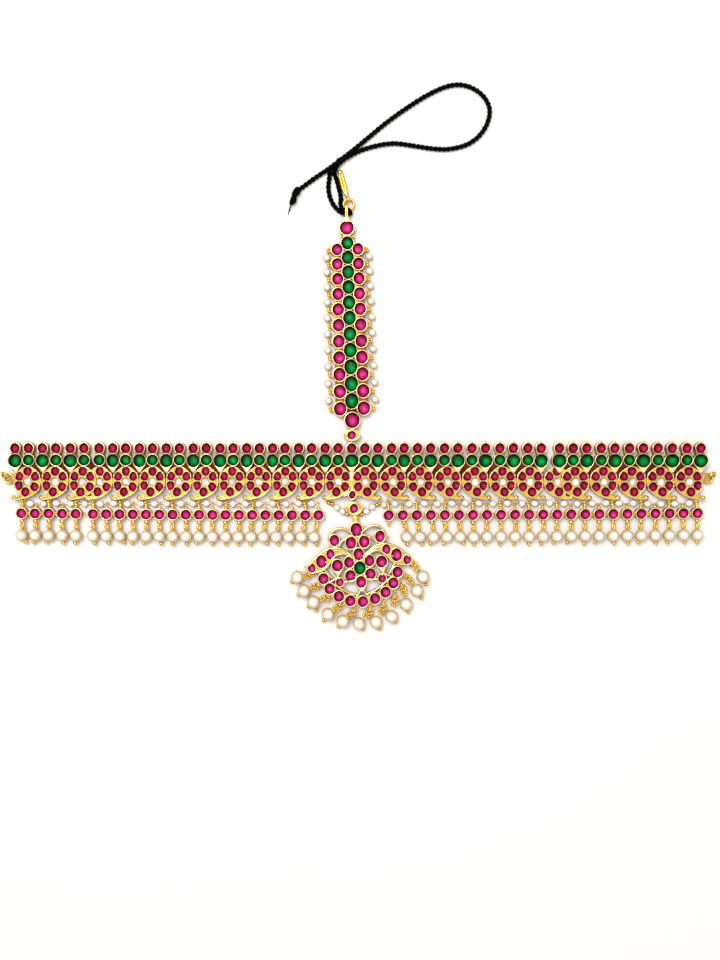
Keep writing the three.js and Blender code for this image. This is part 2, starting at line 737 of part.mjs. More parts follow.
function buildStrip(parent) {
  const headY = stripHeadY();
  const headTop = headY + 0.5 * HEAD_RUBY_DIAMETER;
  const solids = [
    ...setStone(0, 0, FOOT_RUBY_WIDTH, FOOT_RUBY_LENGTH, STRIP_HEIGHT),
    ...setStone(0, headY, HEAD_RUBY_DIAMETER, HEAD_RUBY_DIAMETER, STRIP_HEIGHT),
    bar({ x: 0, y: 0 }, { x: 0, y: stripRow(0).y }, 2.4, STRIP_HEIGHT),
    bar({ x: 0, y: headTop - 1 }, { x: 0, y: headTop - 1 + CAP_LENGTH }, CAP_DIAMETER, STRIP_HEIGHT),
    stemLoop(),
  ];
  for (let number = 0; number < STRIP_ROWS; number += 1) {
    const row = stripRow(number);
    solids.push(...setStone(0, row.y, row.greenWidth, row.greenLength, STRIP_HEIGHT));
    for (const side of [-1, 1]) {
      solids.push(prism(oval(side * row.rubyX, row.rubyY, row.rubyWidth, row.rubyLength), STRIP_HEIGHT));
    }
  }
  addPiece(parent, 'parting_strip', toGeometry(join(solids)), gold);
}

// A string of pearls on each side, from the first row of rubies to the last
function buildStripPearls(parent, side) {
  const name = side < 0 ? 'left' : 'right';
  const route = [];
  for (let number = 0; number < STRIP_ROWS - 1; number += 1) {
    const low = stripRow(number);
    const high = stripRow(number + 1);
    const edge = 0.5 * (low.rubyX + high.rubyX + 0.5 * (low.rubyWidth + high.rubyWidth));
    const x = side * (edge + STRIP_PEARL_GAP + 0.5 * STRIP_PEARL_DIAMETER);
    const end = number === 0 ? -0.5 * STRIP_PEARL_DIAMETER : 0;
    const y = 0.5 * (low.rubyY + high.rubyY);
    route.push([x, y + end, 0.5 * STRIP_PEARL_DIAMETER]);
  }
  const last = route[route.length - 1];
  last[1] += 0.5 * STRIP_PEARL_DIAMETER;
  const geometry = tube(route, STRIP_PEARL_DIAMETER, STRIP_STRING_STEP, STRING_SIDES);
  addPiece(parent, `strip_pearls_${name}`, geometry, pearl);
}

// The link between strip and band

function buildEyeLink(parent) {
  const stripFoot = STRIP_FOOT.y - 0.5 * FOOT_RUBY_LENGTH;
  const y = stripFoot - LINK_GAP - 0.5 * EYE_LINK_LENGTH;
  const half = 0.5 * EYE_LINK_WIDTH;
  const rise = 0.5 * EYE_LINK_LENGTH;
  const eye = (scale) => [
    { x: -half * scale, y },
    { x: -0.5 * half * scale, y: y - 0.8 * rise * scale },
    { x: 0, y: y - rise * scale },
    { x: 0.5 * half * scale, y: y - 0.8 * rise * scale },
    { x: half * scale, y },
    { x: 0.5 * half * scale, y: y + 0.8 * rise * scale },
    { x: 0, y: y + rise * scale },
    { x: -0.5 * half * scale, y: y + 0.8 * rise * scale },
  ];
  const frame = prism(eye(1), EYE_LINK_HEIGHT);
  const hole = prism(eye(1 - EYE_RIM_WIDTH / rise), 2 * EYE_LINK_HEIGHT).translate(0, 0, -0.5 * EYE_LINK_HEIGHT);
  const collet = EYE_RUBY_DIAMETER + 2 * 0.35;
  const solid = join([
    frame.subtract(hole),
    prism(oval(0, y, collet, EYE_LINK_LENGTH - 0.4), EYE_LINK_HEIGHT),
    stone(0, y, EYE_RUBY_DIAMETER, EYE_RUBY_DIAMETER, EYE_LINK_HEIGHT),
  ]);
  addPiece(parent, 'eye_link', toGeometry(solid), gold);
}

// The hook and the rings

function buildHook(parent) {
  const place = HOOK_RING_PLACE;
  const ringMesh = addPiece(parent, 'hook_ring', ring(HOOK_RING_DIAMETER, HOOK_RING_WIRE), gold);
  ringMesh.position.set(place.x, place.y, place.z);

  const eyeGeometry = ring(HOOK_EYE_DIAMETER, HOOK_EYE_WIRE);
  eyeGeometry.rotateY(Math.PI / 2);
  const barStart = new THREE.Vector3(0, 0.42 * HOOK_EYE_DIAMETER, 0);
  const barEnd = new THREE.Vector3(0, 0.42 * HOOK_EYE_DIAMETER + HOOK_BAR_LENGTH, 0);
  const hook = join([
    toSolid(eyeGeometry),
    rod(barStart, barEnd, HOOK_BAR_DIAMETER, 6),
    ball(barEnd, HOOK_BALL_DIAMETER),
  ]);
  const turned = new THREE.Group();
  turned.position.set(place.x, place.y, place.z);
  turned.rotation.z = HOOK_LEAN;
  const mesh = addPiece(turned, 's_hook', toGeometry(hook), gold);
  mesh.position.y = HOOK_RING_MEAN_RADIUS;
  parent.add(turned);
}

function buildEndRings(parent, band) {
  const meanRadius = 0.5 * (END_RING_DIAMETER - END_RING_WIRE);
  const wireX = endEye(band).x;
  const first = addPiece(parent, `end_ring_${band.name}_1`, ring(END_RING_DIAMETER, END_RING_WIRE), gold);
  first.position.set(wireX + band.side * meanRadius, END_EYE_ROW, END_RING_LEVEL);

  const turned = new THREE.Group();
  turned.position.set(wireX + band.side * meanRadius, END_EYE_ROW, 0);
  turned.rotation.z = band.side * SECOND_RING_TURN;
  const second = addPiece(turned, `end_ring_${band.name}_2`, ring(END_RING_DIAMETER, END_RING_WIRE), gold);
  const level = meanRadius * Math.sin(SECOND_RING_TILT) + 0.5 * END_RING_WIRE;
  second.position.set(band.side * SECOND_RING_STEP * meanRadius, 0, level);
  second.rotation.x = SECOND_RING_TILT;
  parent.add(turned);
}

// The drop under the middle and its swags

function centreDropY() {
  const diamondTip = CENTRE_DIAMOND_ROW - CENTRE_DIAMOND_HALF_HEIGHT;
  return diamondTip - LINK_GAP - 0.5 * CENTRE_DROP_LENGTH;
}

function buildCentreDrop(parent) {
  const y = centreDropY();
  const half = 0.5 * CENTRE_DROP_WIDTH;
  const rise = 0.5 * CENTRE_DROP_LENGTH;
  const x = CENTRE_DROP_X;
  const petals = prism([
    { x: x - 0.3 * half, y: y + rise },
    { x: x - half, y: y + 0.45 * rise },
    { x: x - half, y: y - 0.2 * rise },
    { x: x - 0.45 * half, y: y - 0.85 * rise },
    { x, y: y - rise },
    { x: x + 0.45 * half, y: y - 0.85 * rise },
    { x: x + half, y: y - 0.2 * rise },
    { x: x + half, y: y + 0.45 * rise },
    { x: x + 0.3 * half, y: y + rise },
  ], CENTRE_DROP_HEIGHT);
  const ruby = stone(x, y, CENTRE_DROP_RUBY_WIDTH, CENTRE_DROP_RUBY_LENGTH, CENTRE_DROP_HEIGHT);
  addPiece(parent, 'centre_drop', toGeometry(petals.add(ruby)), gold);
}

function buildSwag(parent, name, route) {
  addPiece(parent, `swag_${name}`, tube(route, SWAG_DIAMETER, SWAG_STEP, STRING_SIDES), pearl);
}

// The pendant

function pendantPoint(across, down) {
  return { x: across * PENDANT_HALF_SPAN, y: -down * PENDANT_LENGTH };
}

function arcStonePlace(index) {
  const turn = between(-ARC_SPREAD, ARC_SPREAD, index / (ARC_STONES - 1));
  return pendantPoint(
    ARC_RADIUS_ACROSS * Math.sin(turn),
    ARC_CENTRE_DOWN + ARC_RADIUS_DOWN * Math.cos(turn),
  );
}

function pendantStonePlaces() {
  const places = [];
  for (const row of PENDANT_STONES) {
    for (const side of row.across === 0 ? [1] : [-1, 1]) {
      places.push({
        ...pendantPoint(side * row.across, row.down),
        width: row.wide * PENDANT_HALF_SPAN,
        length: row.long * PENDANT_LENGTH,
      });
    }
  }
  for (let index = 0; index < ARC_STONES; index += 1) {
    places.push({
      ...arcStonePlace(index),
      width: ARC_STONE_WIDE * PENDANT_HALF_SPAN,
      length: ARC_STONE_LONG * PENDANT_LENGTH,
    });
  }
  return places;
}

function buildPendant(parent) {
  const rim = 2 * PENDANT_STONE_RIM;
  const metal = [];
  const stones = [];
  for (const place of pendantStonePlaces()) {
    metal.push(prism(oval(place.x, place.y, place.width + rim, place.length + rim), PENDANT_HEIGHT));
    stones.push(stone(place.x, place.y, place.width, place.length, PENDANT_HEIGHT));
  }
  for (const side of [-1, 1]) {
    metal.push(prism(WING_OUTLINE.map((p) => pendantPoint(side * p.across, p.down)), PENDANT_HEIGHT));
    for (const wire of PENDANT_WIRES) {
      const from = pendantPoint(side * wire.fromAcross, wire.fromDown);
      const to = pendantPoint(side * wire.toAcross, wire.toDown);
      metal.push(bar(from, to, PENDANT_WIRE_WIDTH, PENDANT_HEIGHT));
    }
  }
  for (let index = 1; index < ARC_STONES; index += 1) {
    metal.push(bar(arcStonePlace(index - 1), arcStonePlace(index), 1.6, PENDANT_HEIGHT));
  }
  metal.push(bar({ x: 0, y: BAIL_RISE }, pendantPoint(0, 0.1), BAIL_WIDTH, PENDANT_HEIGHT));
  addPiece(parent, 'pendant', toGeometry(join(metal.concat(stones))), gold);
}

function buildPendantDrops(parent) {
  const level = 0.5 * DROP_PEARL_DIAMETER;
  PENDANT_DROPS.forEach((drop, index) => {
    const grape = pendantPoint(drop.grapeAcross, drop.grapeDown);
    const target = pendantPoint(drop.pearlAcross, drop.pearlDown);
    const centre = new THREE.Vector3(target.x, target.y, level);
    const start = new THREE.Vector3(grape.x, grape.y, level);
    const inward = new THREE.Vector3().subVectors(start, centre).normalize();
    start.addScaledVector(inward, drop.reach);
    const solid = ball(centre, DROP_PEARL_DIAMETER).add(rod(start, centre, GRAPE_DIAMETER, 5));
    const label = String(index + 1).padStart(2, '0');
    addPiece(parent, `pendant_drop_${label}`, toGeometry(solid), pearl);
  });
}

// The cord

function lump(centre, diameter) {
  return ball(centre, diameter);
}

function buildCord(parent) {
  const routes = {
    cord_left_strand: LEFT_STRAND_ROUTE,
    cord_right_strand: RIGHT_STRAND_ROUTE,
    cord_big_loop: BIG_LOOP_ROUTE,
    cord_tail: TAIL_ROUTE,
  };
  for (const [name, points] of Object.entries(routes)) {
    const step = name.endsWith('strand') ? STRAND_STEP : CORD_STEP;
    addPiece(parent, name, tube(points, CORD_DIAMETER, step, CORD_SIDES), thread);
  }
  const middle = new THREE.SphereGeometry(0.5 * KNOT_DIAMETER, 10, 4);
  middle.scale(1, KNOT_HIGH_END.distanceTo(KNOT_LOW_END) / KNOT_DIAMETER, 1);
  const along = new THREE.Vector3().subVectors(KNOT_HIGH_END, KNOT_LOW_END).normalize();
  middle.applyQuaternion(new THREE.Quaternion().setFromUnitVectors(new THREE.Vector3(0, 1, 0), along));
  const centre = new THREE.Vector3().addVectors(KNOT_HIGH_END, KNOT_LOW_END).multiplyScalar(0.5);
  middle.translate(centre.x, centre.y, centre.z);
  addPiece(parent, 'cord_knot', toGeometry(toSolid(middle)), thread);
  const endKnot = join([
    lump(END_KNOT_UPPER, END_KNOT_DIAMETER),
    lump(END_KNOT_LOWER, 0.8 * END_KNOT_DIAMETER),
    rod(END_KNOT_UPPER, END_KNOT_LOWER, 1.6),
    rod(END_KNOT_LOWER, FRAYED_END, 0.9),
  ]);
  addPiece(parent, 'cord_end_knot', toGeometry(endKnot), thread);
}

function buildAll() {
  const whole = new THREE.Group();
  buildBandCentre(whole);
  for (const band of [LEFT_BAND, RIGHT_BAND]) {
    buildBandHalf(whole, band);
    buildEndRings(whole, band);
  }
  for (const fringe of [LEFT_FRINGE, RIGHT_FRINGE]) {
    buildFringe(whole, fringe);
    buildSeedString(whole, fringe);
  }
  const strip = new THREE.Group();
  strip.position.set(STRIP_FOOT.x, STRIP_FOOT.y, 0);
  strip.rotation.z = STRIP_LEAN;
  buildStrip(strip);
  buildStripPearls(strip, -1);
  buildStripPearls(strip, 1);
  whole.add(strip);
  buildHook(whole);
  buildEyeLink(whole);
  buildCentreDrop(whole);
  buildSwag(whole, 'left', LEFT_SWAG);
  buildSwag(whole, 'right', RIGHT_SWAG);
  const pendant = new THREE.Group();
  pendant.position.set(CENTRE_DROP_X + 0.6, centreDropY() - 0.5 * CENTRE_DROP_LENGTH - LINK_GAP - BAIL_RISE, 0);
  pendant.rotation.z = PENDANT_TILT;
  buildPendant(pendant);
  buildPendantDrops(pendant);
  whole.add(pendant);
  return whole;
}

// Everything but the cord sets the origin: the middle of the jewel, on the surface that it lies on
const jewel = buildAll();
const middle = new THREE.Box3().setFromObject(jewel, true).getCenter(new THREE.Vector3());
buildCord(jewel);
jewel.position.set(-middle.x, -middle.y, 0);

export default jewel;
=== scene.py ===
"""The looks of a maang tikka with its forehead band, laid out flat on a pale floor."""

import logging
import math
import random
from collections.abc import Iterator, Sequence
from contextlib import contextmanager
from dataclasses import dataclass, field
from enum import Enum

import bmesh
import bpy
from mathutils import Matrix, Vector


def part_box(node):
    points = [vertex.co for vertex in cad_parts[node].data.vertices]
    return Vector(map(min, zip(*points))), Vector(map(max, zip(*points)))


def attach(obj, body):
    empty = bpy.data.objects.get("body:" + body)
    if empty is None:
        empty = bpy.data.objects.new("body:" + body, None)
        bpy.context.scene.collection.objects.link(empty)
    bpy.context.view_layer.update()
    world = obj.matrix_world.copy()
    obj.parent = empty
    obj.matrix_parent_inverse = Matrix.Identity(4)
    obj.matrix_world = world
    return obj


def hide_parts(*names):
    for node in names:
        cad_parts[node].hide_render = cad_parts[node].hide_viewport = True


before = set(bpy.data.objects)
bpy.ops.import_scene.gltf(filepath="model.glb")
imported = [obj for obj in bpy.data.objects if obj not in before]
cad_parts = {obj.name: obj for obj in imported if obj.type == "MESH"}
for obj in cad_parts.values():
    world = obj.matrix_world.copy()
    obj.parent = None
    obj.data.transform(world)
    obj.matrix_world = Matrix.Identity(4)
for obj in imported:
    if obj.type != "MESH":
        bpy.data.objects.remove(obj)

LOG = logging.getLogger("maang_tikka")
Point = tuple[float, float]

MM = 0.001
EYE_LINK_ROW = 18.55
FULL_TURN = 2 * math.pi
SEED = 11


def jewel_origin() -> Vector:
    """Gives the middle of the motif row, which the sizes below count from, in metres."""
    low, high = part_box("eye_link")
    middle = (low + high) / 2
    return Vector((middle.x, middle.y - EYE_LINK_ROW * MM, 0.0))


ORIGIN = jewel_origin()


class Slot(Enum):
    """The record's material slots."""

    GOLD = "gold"
    PEARL = "pearl"
    CORD = "cord"


class Tint(Enum):
    """The colours that the stones come in."""

    RUBY = "ruby"
    DEEP_RUBY = "deep ruby"
    EMERALD = "emerald"
    WHITE = "white"


class NodeBench:
    """Adds and links shader nodes in one tree."""

    def __init__(self, tree: bpy.types.NodeTree) -> None:
        """Takes the tree.

        Args:
            tree: The node tree of a material or a group.
        """
        self.tree = tree

    def add(self, kind: str, **settings: object) -> bpy.types.Node:
        """Adds a node.

        Args:
            kind: The node's type name, without its ShaderNode prefix.
            **settings: Properties of the node to set.

        Returns:
            The new node.
        """
        prefix = "" if kind.startswith("NodeGroup") else "ShaderNode"
        node = self.tree.nodes.new(prefix + kind)
        for name, value in settings.items():
            setattr(node, name, value)
        return node

    def link(self, source: bpy.types.NodeSocket, target: bpy.types.NodeSocket) -> None:
        """Joins an output socket to an input socket."""
        self.tree.links.new(source, target)

    def math(self, operation: str, first: object, second: object = 0.0) -> bpy.types.NodeSocket:
        """Adds a sum of two values.

        Args:
            operation: The Math node's operation.
            first: A socket or a number.
            second: A socket or a number.

        Returns:
            The result's socket.
        """
        node = self.add("Math", operation=operation)
        for place, value in enumerate((first, second)):
            if isinstance(value, bpy.types.NodeSocket):
                self.link(value, node.inputs[place])
            else:
                node.inputs[place].default_value = float(value)
        return node.outputs[0]

    def ramp(self, factor: bpy.types.NodeSocket, stops: Sequence[tuple]) -> bpy.types.NodeSocket:
        """Adds a colour ramp.

        Args:
            factor: What drives the ramp.
            stops: Pairs of a place from 0 to 1 and a linear colour.

        Returns:
            The colour's socket.
        """
        node = self.add("ValToRGB")
        elements = node.color_ramp.elements
        while len(elements) < len(stops):
            elements.new(0.5)
        for element, (place, colour) in zip(elements, stops):
            element.position = place
            element.color = (*colour, 1.0)
        self.link(factor, node.inputs["Fac"])
        return node.outputs["Color"]

    def mix(self, factor: object, first: object, second: object, blend: str = "MIX") -> bpy.types.NodeSocket:
        """Mixes two colours.

        Args:
            factor: A socket or a number.
            first: The first colour, as a socket or three numbers.
            second: The second colour, as a socket or three numbers.
            blend: The way of mixing.

        Returns:
            The mixed colour's socket.
        """
        node = self.add("Mix", data_type="RGBA", blend_type=blend)
        for name, value in (("Factor", factor), ("A", first), ("B", second)):
            socket = [s for s in node.inputs if s.name == name and s.enabled][0]
            if isinstance(value, bpy.types.NodeSocket):
                self.link(value, socket)
            elif name == "Factor":
                socket.default_value = float(value)
            else:
                socket.default_value = (*value, 1.0)
        return [s for s in node.outputs if s.enabled][0]


def new_material(name: str) -> tuple[bpy.types.Material, NodeBench, bpy.types.Node]:
    """Starts a material.

    Args:
        name: The finish's name.

    Returns:
        The material, a bench on its tree and its Principled BSDF.
    """
    material = bpy.data.materials.new(name)
    material.use_nodes = True
    bench = NodeBench(material.node_tree)
    return material, bench, material.node_tree.nodes["Principled BSDF"]


def handwork_group() -> bpy.types.NodeTree:
    """Builds the small unevenness of hand-made surfaces, as a group of Tone and Relief."""
    tree = bpy.data.node_groups.new("handwork", "ShaderNodeTree")
    for name in ("Broad Scale", "Fine Scale"):
        tree.interface.new_socket(name, in_out="INPUT", socket_type="NodeSocketFloat")
    for name in ("Tone", "Relief"):
        tree.interface.new_socket(name, in_out="OUTPUT", socket_type="NodeSocketFloat")
    bench = NodeBench(tree)
    given = bench.add("NodeGroupInput")
    result = bench.add("NodeGroupOutput")
    place = bench.add("TexCoord")
    for source, target, detail in (("Broad Scale", "Tone", 2.0), ("Fine Scale", "Relief", 3.0)):
        noise = bench.add("TexNoise")
        noise.inputs["Detail"].default_value = detail
        bench.link(place.outputs["Object"], noise.inputs["Vector"])
        bench.link(given.outputs[source], noise.inputs["Scale"])
        bench.link(noise.outputs["Fac"], result.inputs[target])
    return tree


def stone_depth_group() -> bpy.types.NodeTree:
    """Builds how far a point of a stone is from its lit middle, as a group with one output, Depth."""
    tree = bpy.data.node_groups.new("stone_depth", "ShaderNodeTree")
    for name in ("Across", "Along"):
        tree.interface.new_socket(name, in_out="INPUT", socket_type="NodeSocketFloat")
    tree.interface.new_socket("Depth", in_out="OUTPUT", socket_type="NodeSocketFloat")
    bench = NodeBench(tree)
    given = bench.add("NodeGroupInput")
    result = bench.add("NodeGroupOutput")
    place = bench.add("UVMap", uv_map="stone")
    parts = bench.add("SeparateXYZ")
    bench.link(place.outputs["UV"], parts.inputs[0])
    squares = []
    for axis, name in ((0, "Across"), (1, "Along")):
        centred = bench.math("MULTIPLY", bench.math("SUBTRACT", parts.outputs[axis], 0.5), 2.0)
        shifted = bench.math("SUBTRACT", centred, given.outputs[name])
        squares.append(bench.math("MULTIPLY", shifted, shifted))
    bench.link(bench.math("SQRT", bench.math("ADD", *squares)), result.inputs["Depth"])
    return tree


class Groups:
    """The node groups that several finishes share, each built once."""

    handwork: bpy.types.NodeTree
    stone_depth: bpy.types.NodeTree

    @classmethod
    def build(cls) -> None:
        """Builds both groups."""
        cls.handwork = handwork_group()
        cls.stone_depth = stone_depth_group()


def add_handwork(bench: NodeBench, broad: float, fine: float) -> bpy.types.Node:
    """Places the handwork group.

    Args:
        broad: Scale of the change of tone.
        fine: Scale of the relief.

    Returns:
        The group's node.
    """
    node = bench.add("Group", node_tree=Groups.handwork)
    node.inputs["Broad Scale"].default_value = broad
    node.inputs["Fine Scale"].default_value = fine
    return node


def add_bump(bench: NodeBench, height: bpy.types.NodeSocket, shader: bpy.types.Node, strength: float,
             distance: float) -> None:
    """Turns a height into relief on a shader.

    Args:
        bench: The material's bench.
        height: The height's socket.
        shader: The Principled BSDF.
        strength: Strength of the relief.
        distance: Depth of the relief, in metres.
    """
    bump = bench.add("Bump")
    bump.inputs["Strength"].default_value = strength
    bump.inputs["Distance"].default_value = distance
    bench.link(height, bump.inputs["Height"])
    bench.link(bump.outputs["Normal"], shader.inputs["Normal"])


@dataclass(frozen=True)
class GoldFinish:
    """Polished yellow gold plate with painted light and shade by height: a painted highlight makes it pale on its rims,
    and painted shade makes it deeper and browner towards its foot.
    """

    name: str
    pale: tuple[float, float, float]
    bright: tuple[float, float, float]
    deep: tuple[float, float, float]
    roughness: float
    foot: float
    crest: float
    metal: float

    def build(self) -> bpy.types.Material:
        """Builds the material."""
        material, bench, shader = new_material(self.name)
        work = add_handwork(bench, 260.0, 2600.0)
        place = bench.add("TexCoord")
        parts = bench.add("SeparateXYZ")
        bench.link(place.outputs["Object"], parts.inputs[0])
        # Painted shade and painted highlight: the colour follows the height, deep orange-brown at the foot where
        # recesses lie in shade, pale at the crest where the rims catch the lamps.
        level = bench.add("MapRange", interpolation_type="SMOOTHSTEP")
        level.inputs["From Min"].default_value = self.foot * MM
        level.inputs["From Max"].default_value = self.crest * MM
        bench.link(parts.outputs["Z"], level.inputs["Value"])
        colour = bench.ramp(level.outputs["Result"], (
            (0.0, self.deep),
            (0.45, self.bright),
            (0.8, self.bright),
            (1.0, self.pale),
        ))
        tone = bench.ramp(work.outputs["Tone"], ((0.3, (0.8, 0.74, 0.62)), (0.7, (1.0, 1.0, 1.0))))
        bench.link(bench.mix(0.6, colour, tone, "MULTIPLY"), shader.inputs["Base Color"])
        rough = bench.math("MULTIPLY", work.outputs["Tone"], 0.2)
        bench.link(bench.math("ADD", rough, self.roughness - 0.08), shader.inputs["Roughness"])
        shader.inputs["Metallic"].default_value = self.metal
        add_bump(bench, work.outputs["Relief"], shader, 0.25, 0.00008)
        return material


@dataclass(frozen=True)
class StoneFinish:
    """A foil-backed stone with painted light and shade: a light middle as a painted highlight, its full body colour,
    and a dark rim as the painted shade of its setting, deeper on the upper left.
    """

    name: str
    middle: tuple[float, float, float]
    body: tuple[float, float, float]
    shade: tuple[float, float, float]
    rim: tuple[float, float, float]
    painted_glow: float

    def build(self) -> bpy.types.Material:
        """Builds the material."""
        material, bench, shader = new_material(self.name)
        # Painted highlight and painted shade: the lit middle sits a little right of and below the stone's centre, and
        # the colour darkens away from it, most on the upper left.
        depth = bench.add("Group", node_tree=Groups.stone_depth)
        depth.inputs["Across"].default_value = 0.09
        depth.inputs["Along"].default_value = -0.12
        work = add_handwork(bench, 330.0, 1100.0)
        wander = bench.math("MULTIPLY", bench.math("SUBTRACT", work.outputs["Relief"], 0.5), 0.5)
        reach = bench.math("ADD", depth.outputs["Depth"], wander)
        colour = bench.ramp(reach, (
            (0.0, self.middle),
            (0.42, self.body),
            (0.7, self.shade),
            (0.9, self.rim),
        ))
        tone = bench.ramp(work.outputs["Tone"], ((0.35, (0.56, 0.5, 0.56)), (0.65, (1.15, 1.15, 1.15))))
        tinted = bench.mix(0.8, colour, tone, "MULTIPLY")
        bench.link(tinted, shader.inputs["Base Color"])
        # The stone's colour is also a faint painted glow, though no lamp is inside it.
        bench.link(tinted, shader.inputs["Emission Color"])
        shader.inputs["Emission Strength"].default_value = self.painted_glow
        shader.inputs["Roughness"].default_value = 0.16
        shader.inputs["Specular IOR Level"].default_value = 0.025
        shader.inputs["Coat Weight"].default_value = 0.02
        shader.inputs["Coat Roughness"].default_value = 0.03
        add_bump(bench, work.outputs["Relief"], shader, 0.12, 0.0001)
        return material


@dataclass(frozen=True)
class PearlFinish:
    """Cream pearl with painted light and shade: white on its crown as painted light from above, cream and tan round its
    girth as painted shade and painted reflection of the gold and its neighbours.
    """

    name: str
    face: tuple[float, float, float]
    cream: tuple[float, float, float]
    edge: tuple[float, float, float]
    girth: float

    def build(self) -> bpy.types.Material:
        """Builds the material."""
        material, bench, shader = new_material(self.name)
        work = add_handwork(bench, 420.0, 900.0)
        place = bench.add("UVMap", uv_map="stone")
        parts = bench.add("SeparateXYZ")
        bench.link(place.outputs["UV"], parts.inputs[0])
        wander = bench.math("MULTIPLY", bench.math("SUBTRACT", work.outputs["Tone"], 0.5), 0.1)
        # Painted light and shade by height on the pearl: tan at its girth, cream above, white on its crown.
        colour = bench.ramp(bench.math("ADD", parts.outputs["Y"], wander), (
            (self.girth, self.edge),
            (self.girth + 0.19, self.cream),
            (self.girth + 0.31, self.face),
        ))
        tone = bench.ramp(work.outputs["Tone"], ((0.3, (0.94, 0.9, 0.84)), (0.65, (1.0, 1.0, 1.0))))
        bench.link(bench.mix(0.55, colour, tone, "MULTIPLY"), shader.inputs["Base Color"])
        shader.inputs["Roughness"].default_value = 0.2
        shader.inputs["Coat Weight"].default_value = 0.35
        shader.inputs["Coat Roughness"].default_value = 0.1
        add_bump(bench, work.outputs["Relief"], shader, 0.2, 0.00012)
        return material


@dataclass(frozen=True)
class ThreadFinish:
    """Black spun thread."""

    name: str
    dark: tuple[float, float, float]
    light: tuple[float, float, float]

    def build(self) -> bpy.types.Material:
        """Builds the material."""
        material, bench, shader = new_material(self.name)
        work = add_handwork(bench, 500.0, 4200.0)
        bench.link(bench.mix(work.outputs["Tone"], self.dark, self.light), shader.inputs["Base Color"])
        shader.inputs["Roughness"].default_value = 0.85
        shader.inputs["Specular IOR Level"].default_value = 0.06
        add_bump(bench, work.outputs["Relief"], shader, 0.6, 0.0002)
        return material


@dataclass(frozen=True)
class DarkSeamFinish:
    """A dark red finish for the plates that fill the seams between settings."""

    name: str
    dark: tuple[float, float, float]
    light: tuple[float, float, float]

    def build(self) -> bpy.types.Material:
        """Builds the material."""
        material, bench, shader = new_material(self.name)
        work = add_handwork(bench, 700.0, 1800.0)
        tone = bench.ramp(work.outputs["Tone"], ((0.35, self.dark), (0.7, self.light)))
        bench.link(tone, shader.inputs["Base Color"])
        shader.inputs["Roughness"].default_value = 0.6
        shader.inputs["Specular IOR Level"].default_value = 0.15
        add_bump(bench, work.outputs["Relief"], shader, 0.4, 0.0001)
        return material


class Finishes:
    """The finishes of the jewel, each built once."""

    gold: bpy.types.Material
    band_gold: bpy.types.Material
    low_gold: bpy.types.Material
    wire: bpy.types.Material
    pearl: bpy.types.Material
    seed: bpy.types.Material
    thread: bpy.types.Material
    seam_dark: bpy.types.Material
    stones: dict[Tint, bpy.types.Material]

    @classmethod
    def build(cls) -> None:
        """Builds all of them."""
        # Every gold paints shade low down and a highlight on its highest rims; the golds differ in colours and in the
        # heights from foot to crest.
        pale, bright = (1.0, 0.84, 0.4), (1.0, 0.63, 0.09)
        cls.gold = GoldFinish("bright_gold", pale, bright, (0.3, 0.075, 0.004), 0.17, 2.3, 3.4, 0.88).build()
        cls.band_gold = GoldFinish("band_gold", pale, bright, (0.3, 0.075, 0.004), 0.17, 2.75, 3.8, 0.88).build()
        cls.low_gold = GoldFinish("low_gold", pale, bright, (0.3, 0.075, 0.004), 0.17, 2.15, 3.02, 0.88).build()
        cls.wire = GoldFinish("wire_gold", (1.0, 0.72, 0.17), (1.0, 0.59, 0.065), (0.4, 0.12, 0.005), 0.14, 0.2, 3.0, 0.9).build()
        cls.pearl = PearlFinish(
            "pearl_lustre", (0.98, 0.97, 0.94), (0.8, 0.67, 0.41), (0.6, 0.42, 0.18), 0.64
        ).build()
        cls.seed = PearlFinish(
            "seed_lustre", (0.98, 0.97, 0.94), (0.8, 0.68, 0.44), (0.5, 0.33, 0.12), 0.52
        ).build()
        cls.thread = ThreadFinish("black_thread", (0.0006, 0.0006, 0.0008), (0.0025, 0.0025, 0.003)).build()
        cls.seam_dark = DarkSeamFinish("dark_seam", (0.05, 0.001, 0.002), (0.2, 0.02, 0.004)).build()
        cls.stones = {
            Tint.RUBY: StoneFinish(
                "ruby_stone", (0.84, 0.1, 0.36), (0.62, 0.02, 0.2), (0.32, 0.0, 0.06), (0.045, 0.0, 0.006), 0.05
            ).build(),
            Tint.DEEP_RUBY: StoneFinish(
                "deep_ruby_stone", (0.55, 0.035, 0.13), (0.4, 0.006, 0.06), (0.2, 0.0, 0.022), (0.03, 0.0, 0.003),
                0.05
            ).build(),
            Tint.EMERALD: StoneFinish(
                "emerald_stone", (0.0, 0.48, 0.085), (0.0, 0.22, 0.03), (0.0, 0.05, 0.008), (0.0, 0.008, 0.002),
                0.06
            ).build(),
            Tint.WHITE: StoneFinish(
                "white_stone", (0.97, 0.95, 0.92), (0.93, 0.9, 0.86), (0.7, 0.6, 0.48), (0.4, 0.28, 0.14), 0.06
            ).build(),
        }


def deselect_all() -> None:
    """Leaves nothing selected."""
    for item in bpy.context.selected_objects:
        item.select_set(False)


def select_only(piece: bpy.types.Object) -> None:
    """Selects one piece and makes it active."""
    deselect_all()
    piece.select_set(True)
    bpy.context.view_layer.objects.active = piece


@contextmanager
def editing(piece: bpy.types.Object) -> Iterator[bmesh.types.BMesh]:
    """Works on a piece in edit mode.

    Args:
        piece: The piece.

    Yields:
        Its mesh as edit mode holds it.
    """
    select_only(piece)
    bpy.ops.object.mode_set(mode="EDIT")
    bpy.ops.mesh.select_mode(type="EDGE")
    yield bmesh.from_edit_mesh(piece.data)
    bpy.ops.object.mode_set(mode="OBJECT")


